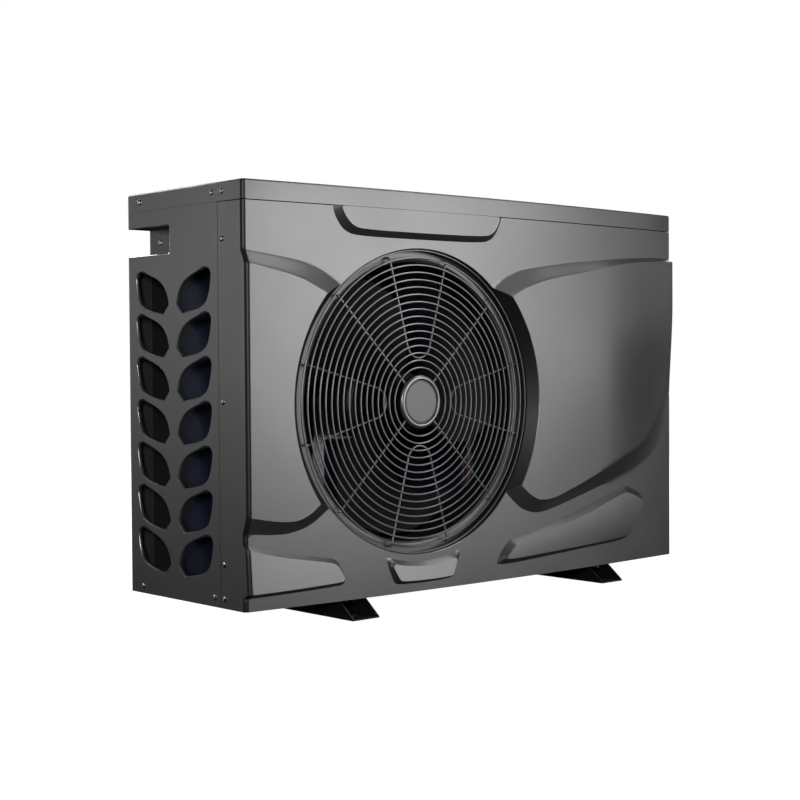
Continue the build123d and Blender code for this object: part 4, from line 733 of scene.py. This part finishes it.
def fan_guard():
    """Ring wires, and straight and hairpin spokes behind them."""
    rings = Builder()
    for ring in range(RINGS):
        radius = FIRST_RING_R + ring * RING_PITCH
        circle = [round_about(radius, 360 * k / RING_STEPS, GUARD_Y) for k in range(RING_STEPS)]
        tube(rings, circle, RING_WIRE_R, 10, closed=True)
    piece("guard_ring_wires", rings.points, rings.faces, "guard_wire", ("guard_rings",))
    spokes = Builder()
    for angle in (45, 135, 225, 315):
        corners = [round_about(SPOKE_IN_R, angle, SPOKE_Y), round_about(SPOKE_OUT_R, angle, SPOKE_Y),
                   round_about(SPOKE_OUT_R, angle, FRONT - 0.2)]
        tube(spokes, rounded_path(corners, [5]), SPOKE_WIRE_R, 10)
    bend = HAIRPIN_IN_R / (1 / sin(radians(HAIRPIN_ANGLE)) - 1)
    for middle in (0, 90, 180, 270):
        low, high = middle - HAIRPIN_ANGLE, middle + HAIRPIN_ANGLE
        corners = [round_about(SPOKE_OUT_R, low, FRONT - 0.2), round_about(SPOKE_OUT_R, low, SPOKE_Y),
                   round_about(0, low, SPOKE_Y), round_about(SPOKE_OUT_R, high, SPOKE_Y),
                   round_about(SPOKE_OUT_R, high, FRONT - 0.2)]
        tube(spokes, rounded_path(corners, [5, bend, 5], 16), SPOKE_WIRE_R, 10)
    piece("guard_spoke_wires", spokes.points, spokes.faces, "guard_wire", ("guard_spokes",))


def hub():
    """Bright bevelled ring and the blank disc inside it, with a dark groove between them."""
    low, high = box_mm("hub_ring")
    front, back = low.y, high.y
    ring = lathe_fan([
        (43.0, back), (43.0, front + 3.8), (42.6, front + 2.2), (41.2, front + 0.9), (39.0, front + 0.1),
        (37.4, front), (36.7, front + 0.4), (36.3, front + 1.2), (36.1, front + 2.4), (35.9, back),
    ])
    piece("hub_bright_ring", ring.points, ring.faces, "hub_chrome", ("hub_ring",), sharp=50)
    badge_low, badge_high = box_mm("hub_badge")
    face, rear = badge_low.y, badge_high.y
    profile = [
        (35.2, rear), (35.2, face + 1.9), (34.8, face + 1.3), (34.3, face + 1.3), (33.7, face + 2.2),
        (33.2, face + 2.2), (33.0, face + 0.9), (32.6, face + 0.3), (31.8, face),
    ]
    disc = lathe_fan(profile, closed=False)
    count = len(disc.points)
    steps = count // len(profile)
    disc.cap(list(range(steps)))
    disc.cap(list(range(count - steps, count)), flip=True)
    piece("hub_blank_disc", disc.points, disc.faces, "badge_grey", ("hub_badge",), sharp=40)


BLADES = 3
BLADE_IN_R, BLADE_OUT_R = 46.5, 216.5
BLADE_MID_Y = -105.0


def fan_rotor():
    """Cupped hub and three sickle blades, turning together."""
    cup = lathe_fan([
        (5.0, -135), (44.5, -135), (46.6, -134.2), (47.7, -132.4), (48, -130), (48, -76), (45, -76),
        (45, -131), (14, -131), (14, -84), (5, -84),
    ], steps=96)
    rows, across = 22, 18
    made = Builder()
    for blade in range(BLADES):
        for side in (-1, 1):
            sheet = []
            for i in range(rows + 1):
                out = i / rows
                radius = BLADE_IN_R + (BLADE_OUT_R - BLADE_IN_R) * out
                sweep = 0.62 * out ** 1.7 - 0.12 * sin(pi * out)
                chord = 1.05 + 0.42 * out - 0.5 * max(0, out - 0.85) ** 2
                depth = 50 - 16 * out
                row = []
                for j in range(across + 1):
                    t = j / across
                    angle = 2 * pi * blade / BLADES + sweep + (t - 0.5) * chord
                    camber = 5.5 * sin(pi * t) * (1 - 0.3 * out)
                    thick = (3.2 - 1.6 * out) * sqrt(max(0.02, sin(pi * min(1, t * 0.9 + 0.08)))) / 2
                    y = BLADE_MID_Y + (t - 0.5) * depth - camber + side * thick
                    row.append((FAN_X + radius * cos(angle), y, FAN_Z + radius * sin(angle)))
                sheet.append(made.ring(row))
            made.skin(sheet, closed=False)
            if side < 0:
                first = sheet
            else:
                made.skin([first[-1], sheet[-1]], closed=False)
                made.skin([[r[0] for r in first], [r[0] for r in sheet]], closed=False)
                made.skin([[r[-1] for r in first], [r[-1] for r in sheet]], closed=False)
                made.skin([first[0], sheet[0]], closed=False)
    piece("fan_hub_cup", cup.points, cup.faces, "black_plastic", ("fan_blade",), body=FAN)
    blades = piece("fan_sickle_blades", made.points, made.faces, "black_plastic", (), body=FAN)
    weld(blades, 0.01, (0, 0, 0))


# ---------------------------------------------------------------- left side openings
LEAF = [
    (159, 1), (120, 7.5), (98, 16), (89, 28), (84, 44), (82, 62), (90, 70.5), (120, 65.5),
    (153, 52.5), (169, 36), (176, 17),
]
LEAF_ROWS = 7
LEAF_PITCH = 68.2
LEAF_FIRST_Z = BODY_Z + 36.5
LEAF_MIRROR = 186.0


def through(points, steps=7):
    """Smooth open curve through points, with even parameter steps by chord length."""
    pts = [np.array(p, float) for p in points]
    knots = np.cumsum([0] + [sqrt(float(np.hypot(*(b - a)))) for a, b in zip(pts, pts[1:])])
    slopes = []
    for i in range(len(pts)):
        lo, hi = max(0, i - 1), min(len(pts) - 1, i + 1)
        slopes.append((pts[hi] - pts[lo]) / (knots[hi] - knots[lo]))
    curve = []
    for i in range(len(pts) - 1):
        width = knots[i + 1] - knots[i]
        for k in range(steps):
            t = k / steps
            curve.append(
                (2 * t**3 - 3 * t**2 + 1) * pts[i] + (t**3 - 2 * t**2 + t) * width * slopes[i]
                + (-2 * t**3 + 3 * t**2) * pts[i + 1] + (t**3 - t**2) * width * slopes[i + 1]
            )
    curve.append(pts[-1])
    return curve


def inset(loop, amount):
    """Closed loop moved inward; negative moves it outward."""
    pts = np.array(loop)
    area = 0.5 * float(np.sum(pts[:, 0] * np.roll(pts[:, 1], -1) - np.roll(pts[:, 0], -1) * pts[:, 1]))
    turn = 1 if area > 0 else -1
    before, after = pts - np.roll(pts, 1, 0), np.roll(pts, -1, 0) - pts
    na = np.stack([-before[:, 1], before[:, 0]], 1) * turn / np.maximum(np.hypot(*before.T), 1e-9)[:, None]
    nb = np.stack([-after[:, 1], after[:, 0]], 1) * turn / np.maximum(np.hypot(*after.T), 1e-9)[:, None]
    mid = na + nb
    mid /= np.maximum(np.hypot(*mid.T), 1e-9)[:, None]
    stretch = 1 / np.maximum(0.55, (mid * na).sum(1))
    return pts + mid * (amount * stretch)[:, None]


def leaf_lips():
    """Rolled lips that line the leaf openings of the left side panel, with a painted highlight on their
    rounded edges.
    """
    made = Builder()
    curve = through(LEAF)
    cut = [curve[-1] + (curve[0] - curve[-1]) * k / 5 for k in range(1, 5)]
    loop = curve + cut
    profile = [(-0.35, -0.12), (0.2, -0.02), (0.9, 0.55), (1.2, 1.4), (1.25, 5.0), (0.0, 5.0), (-0.35, 1.3)]
    bright = []
    for row in range(LEAF_ROWS):
        for mirrored in (False, True):
            rows = []
            for move, deep in profile:
                ring = []
                for depth, z in inset(loop, move):
                    depth = 2 * LEAF_MIRROR - depth if mirrored else depth
                    ring.append((LEFT + deep, FRONT + depth, LEAF_FIRST_Z + row * LEAF_PITCH + z))
                rows.append(made.ring(ring))
            made.skin(rows, loop=True)
            count = len(loop)
            # the rounded rows of each lip get the painted highlight
            bright += [0] * count + [1] * 2 * count + [0] * (len(profile) - 3) * count
    lips = piece("leaf_opening_lips", made.points, made.faces, "cabinet_paint", (), sharp=50,
                 mats=["cabinet_paint", "lip_highlight"], face_mats=bright)
    weld(lips, 0.001, (0, 0, 0))


NOTCH_DEPTH = 42.0
NOTCH_CORNER_R = 6.0


def notch_lips():
    """Rolled edge round each handle notch, with rounded inner corners and a painted highlight on its
    rounded edge.
    """
    profile = [(-3.2, 0.06), (0.1, -0.03), (0.9, 0.45), (1.3, 1.3), (1.35, 3.6), (0.0, 3.6), (-3.2, 1.14)]
    for side, name in ((-1, "left"), (1, "right")):
        low, high = box_mm(name + "_handle_recess")
        corners = [Vector((high.y, low.z, 0)), Vector((low.y, low.z, 0)),
                   Vector((low.y, high.z, 0)), Vector((high.y, high.z, 0))]
        path = rounded_path(corners, [NOTCH_CORNER_R, NOTCH_CORNER_R], 10)
        made = Builder()
        rows = []
        for move, deep in profile:
            row = []
            for i, p in enumerate(path):
                a, b = path[max(0, i - 1)], path[min(len(path) - 1, i + 1)]
                along = (b - a).normalized()
                y, z = p.x + along.y * move, p.y - along.x * move
                row.append((side * (WIDTH / 2 - deep), y, z))
            rows.append(made.ring(row))
        made.skin(rows, closed=False, loop=True)
        count = len(path) - 1
        # the rounded rows of the lip get the painted highlight
        bright = [0] * count + [1] * 2 * count + [0] * (len(profile) - 3) * count
        made.cap([row[0] for row in rows])
        made.cap([row[-1] for row in rows], flip=True)
        bright += [0] * (len(made.faces) - len(bright))
        lips = piece(name + "_notch_lip", made.points, made.faces, "cabinet_paint", (), sharp=50,
                     mats=["cabinet_paint", "lip_highlight"], face_mats=bright)
        weld(lips, 0.001, (0, 0, 0))


# ---------------------------------------------------------------- cabinet screws
SCREW_DEPTHS = [
    (52, 15), (52, 67), (52, 312), (52, 557), (78, 15), (277, 12), (52, 628), (79, 628), (277, 628),
]
HEAD_R = 4.6


def screw_places():
    """Centre and outward direction of every cabinet screw head."""
    places = []
    for side in (-1, 1):
        edge = side * WIDTH / 2
        places += [((edge, FRONT + y, BODY_Z + z), (side, 0, 0)) for y, z in SCREW_DEPTHS]
        places.append(((edge - side * (NOTCH_DEPTH - SHEET), FRONT + 280, BODY_Z + 566), (side, 0, 0)))
    for x in (-430.0, 200.0, 270.0, 430.0):
        places += [((x, REAR, z), (0, 1, 0)) for z in (BODY_Z + 12, SEAM_Z - 12)]
    cover_low, cover_high = box_mm("access_cover")
    middle = (cover_low.y + cover_high.y) / 2
    places += [((cover_high.x, middle, z), (1, 0, 0)) for z in (cover_low.z + 8, cover_high.z - 8)]
    return places


def cabinet_screws():
    """Pan heads with a cross recess."""
    made = Builder()
    spokes, radii = 32, (HEAD_R, 4.55, 4.3, 3.8, 3.1, 2.5, 2.0, 1.5, 1.0, 0.5)
    for index, (centre, out) in enumerate(screw_places()):
        out = Vector(out)
        side = out.cross(Vector((0, 0, 1))).normalized()
        up = Vector((0, 0, 1))
        turn = 0.7 * index
        centre = Vector(centre)
        angles = [2 * pi * k / spokes for k in range(spokes)]
        base = [tuple(centre + (side * cos(a) + up * sin(a)) * HEAD_R - out * 0.5) for a in angles]
        rows = [made.ring(base)]
        for n, radius in enumerate(radii):
            ring = []
            for angle in angles:
                height = 0.6 if n == 0 else 0.6 + 1.6 * sqrt(max(0.0, 1 - (radius / 4.7) ** 2))
                across = min(abs(radius * cos(angle - turn)), abs(radius * sin(angle - turn)))
                if radius < 2.3 and across < 0.55:
                    height -= 1.2
                ring.append(tuple(centre + (side * cos(angle) + up * sin(angle)) * radius + out * height))
            rows.append(made.ring(ring))
        made.skin(rows)
        made.cap(rows[-1])
        made.cap(rows[0], flip=True)
    piece("cabinet_screw_heads", made.points, made.faces, "screw_steel", ("cabinet_screws",), sharp=40)


# ---------------------------------------------------------------- camera, light and floor
def camera():
    """Same standpoint as the reference view: low, from the front left."""
    cam = bpy.data.cameras.new("camera")
    cam.lens = 70.42
    cam.sensor_width = 36.0
    cam.clip_end = 50.0
    obj = bpy.data.objects.new("camera", cam)
    bpy.context.scene.collection.objects.link(obj)
    obj.location = (-1.8675, -2.0316, 0.4052)
    yaw, pitch, roll = radians(41.796), radians(-1.510), radians(0.363)
    forward = Vector((sin(yaw) * cos(pitch), cos(yaw) * cos(pitch), sin(pitch)))
    right = forward.cross(Vector((0, 0, 1))).normalized()
    up = right.cross(forward)
    tilt = Matrix.Rotation(roll, 3, forward)
    right, up = tilt @ right, tilt @ up
    basis = Matrix((right, up, -forward)).transposed()
    obj.rotation_euler = basis.to_euler()
    bpy.context.scene.camera = obj


def area_light(name, place, target, size, power, size_y=None):
    """Area light at a place, aimed at a target; sizes in metres and power in watts."""
    data = bpy.data.lights.new(name, "AREA")
    data.energy = power
    data.size = size
    if size_y:
        data.shape = "RECTANGLE"
        data.size_y = size_y
    obj = bpy.data.objects.new(name, data)
    bpy.context.scene.collection.objects.link(obj)
    obj.location = place
    obj.rotation_euler = (Vector(target) - Vector(place)).to_track_quat("-Z", "Y").to_euler()
    return obj


def studio():
    """Pale floor, a bright backdrop for the camera, and large soft lights."""
    scene = bpy.context.scene
    scene.view_settings.view_transform = "Standard"
    world = bpy.data.worlds.new("studio")
    scene.world = world
    world.use_nodes = True
    world.node_tree.nodes["Background"].inputs["Color"].default_value = (1, 1, 1, 1)
    world.node_tree.nodes["Background"].inputs["Strength"].default_value = 1.0
    world.cycles_visibility.diffuse = False
    world.cycles_visibility.glossy = False

    mat, _, shader = new_material("floor", (0.08, 0.08, 0.08), 0.9)
    shader.inputs["Emission Color"].default_value = (1, 1, 1, 1)
    shader.inputs["Emission Strength"].default_value = 1.0
    mesh = bpy.data.meshes.new("floor")
    half = 14.0
    corners = [(-half, -half, 0), (half, -half, 0), (half, half, 0), (-half, half, 0)]
    mesh.from_pydata(corners, [], [(0, 1, 2, 3)])
    mesh.materials.append(mat)
    floor = bpy.data.objects.new("floor", mesh)
    scene.collection.objects.link(floor)
    floor.visible_diffuse = False
    floor.visible_glossy = False

    area_light("key_front_right", (1.78, -3.1, 0.85), (-0.1, 0, 0.4), 2.3, 47, 1.7)
    area_light("fill_left", (-2.75, 2.1, 0.75), (-0.5, 0, 0.35), 1.5, 11, 1.0)
    area_light("top_right", (1.15, -1.0, 2.3), (-0.3, -0.1, 0.5), 0.7, 9, 0.6)
    area_light("edge_front_left", (-2.6, -2.3, 0.95), (0, 0, 0.35), 0.5, 34, 0.5)
    area_light("right_side", (3.1, 1.3, 1.3), (0.5, 0, 0.35), 1.6, 60, 1.6)
    area_light("rear", (0.6, 3.5, 1.4), (0, 0.15, 0.35), 2.2, 150, 1.6)
    area_light("above", (0, 1.7, 2.8), (0, 0, 0.6), 2.0, 14, 1.2)


# ---------------------------------------------------------------- carried-over CAD nodes
COVER_LIP_Y = FRONT + 9  # the top cover's front lip lies forward of this
BELL_RIM_R = 226  # the bell mouth's rim lies outside this radius


def dress_cad_nodes():
    """Gives every CAD node that stays its slot's material, then painted shade on the top cover's front
    corners, the front panel's paint on the cover's front lip, and a lighter rim on the bell mouth as
    painted light.
    """
    slots = {s["node"]: s["material_slot"] for s in frame["record"]["subparts"]}
    for name, obj in frame["nodes"].items():
        obj.data.materials.clear()
        obj.data.materials.append(MAT[slots[name]])
        mod = obj.modifiers.new("weld", "WELD")
        mod.merge_threshold = 0.00002
    cover = frame["nodes"]["top_cover"]
    cover.data.materials.append(MAT["front_black"])
    cover.data.materials.append(MAT["front_paint"])
    # the cover's corner faces at its front lip get the black paint as painted shade, continuing the front
    # panel's corner strips; its forward faces there get the front panel's paint
    for face in cover.data.polygons:
        x, y, z = face.normal
        if abs(x) > 0.2 and y < -0.25 and abs(z) < 0.5 and face.center.y < COVER_LIP_Y * MM:
            face.material_index = 1
        elif y < -0.9 and face.center.y < COVER_LIP_Y * MM:
            face.material_index = 2
    bell = frame["nodes"]["bell_mouth"]
    # the bell mouth's forward-facing rim gets the lighter copy as painted light; the rest stays near black
    # as painted shade
    bell.data.materials.append(MAT["bell_rim"])
    for face in bell.data.polygons:
        radius = (Vector((face.center.x, face.center.z)) - Vector((FAN_X, FAN_Z)) * MM).length
        if radius > BELL_RIM_R * MM and face.normal.y < -0.4:
            face.material_index = 1


camera()
studio()
dress_cad_nodes()
front_panel()
fan_guard()
hub()
fan_rotor()
leaf_lips()
notch_lips()
cabinet_screws()
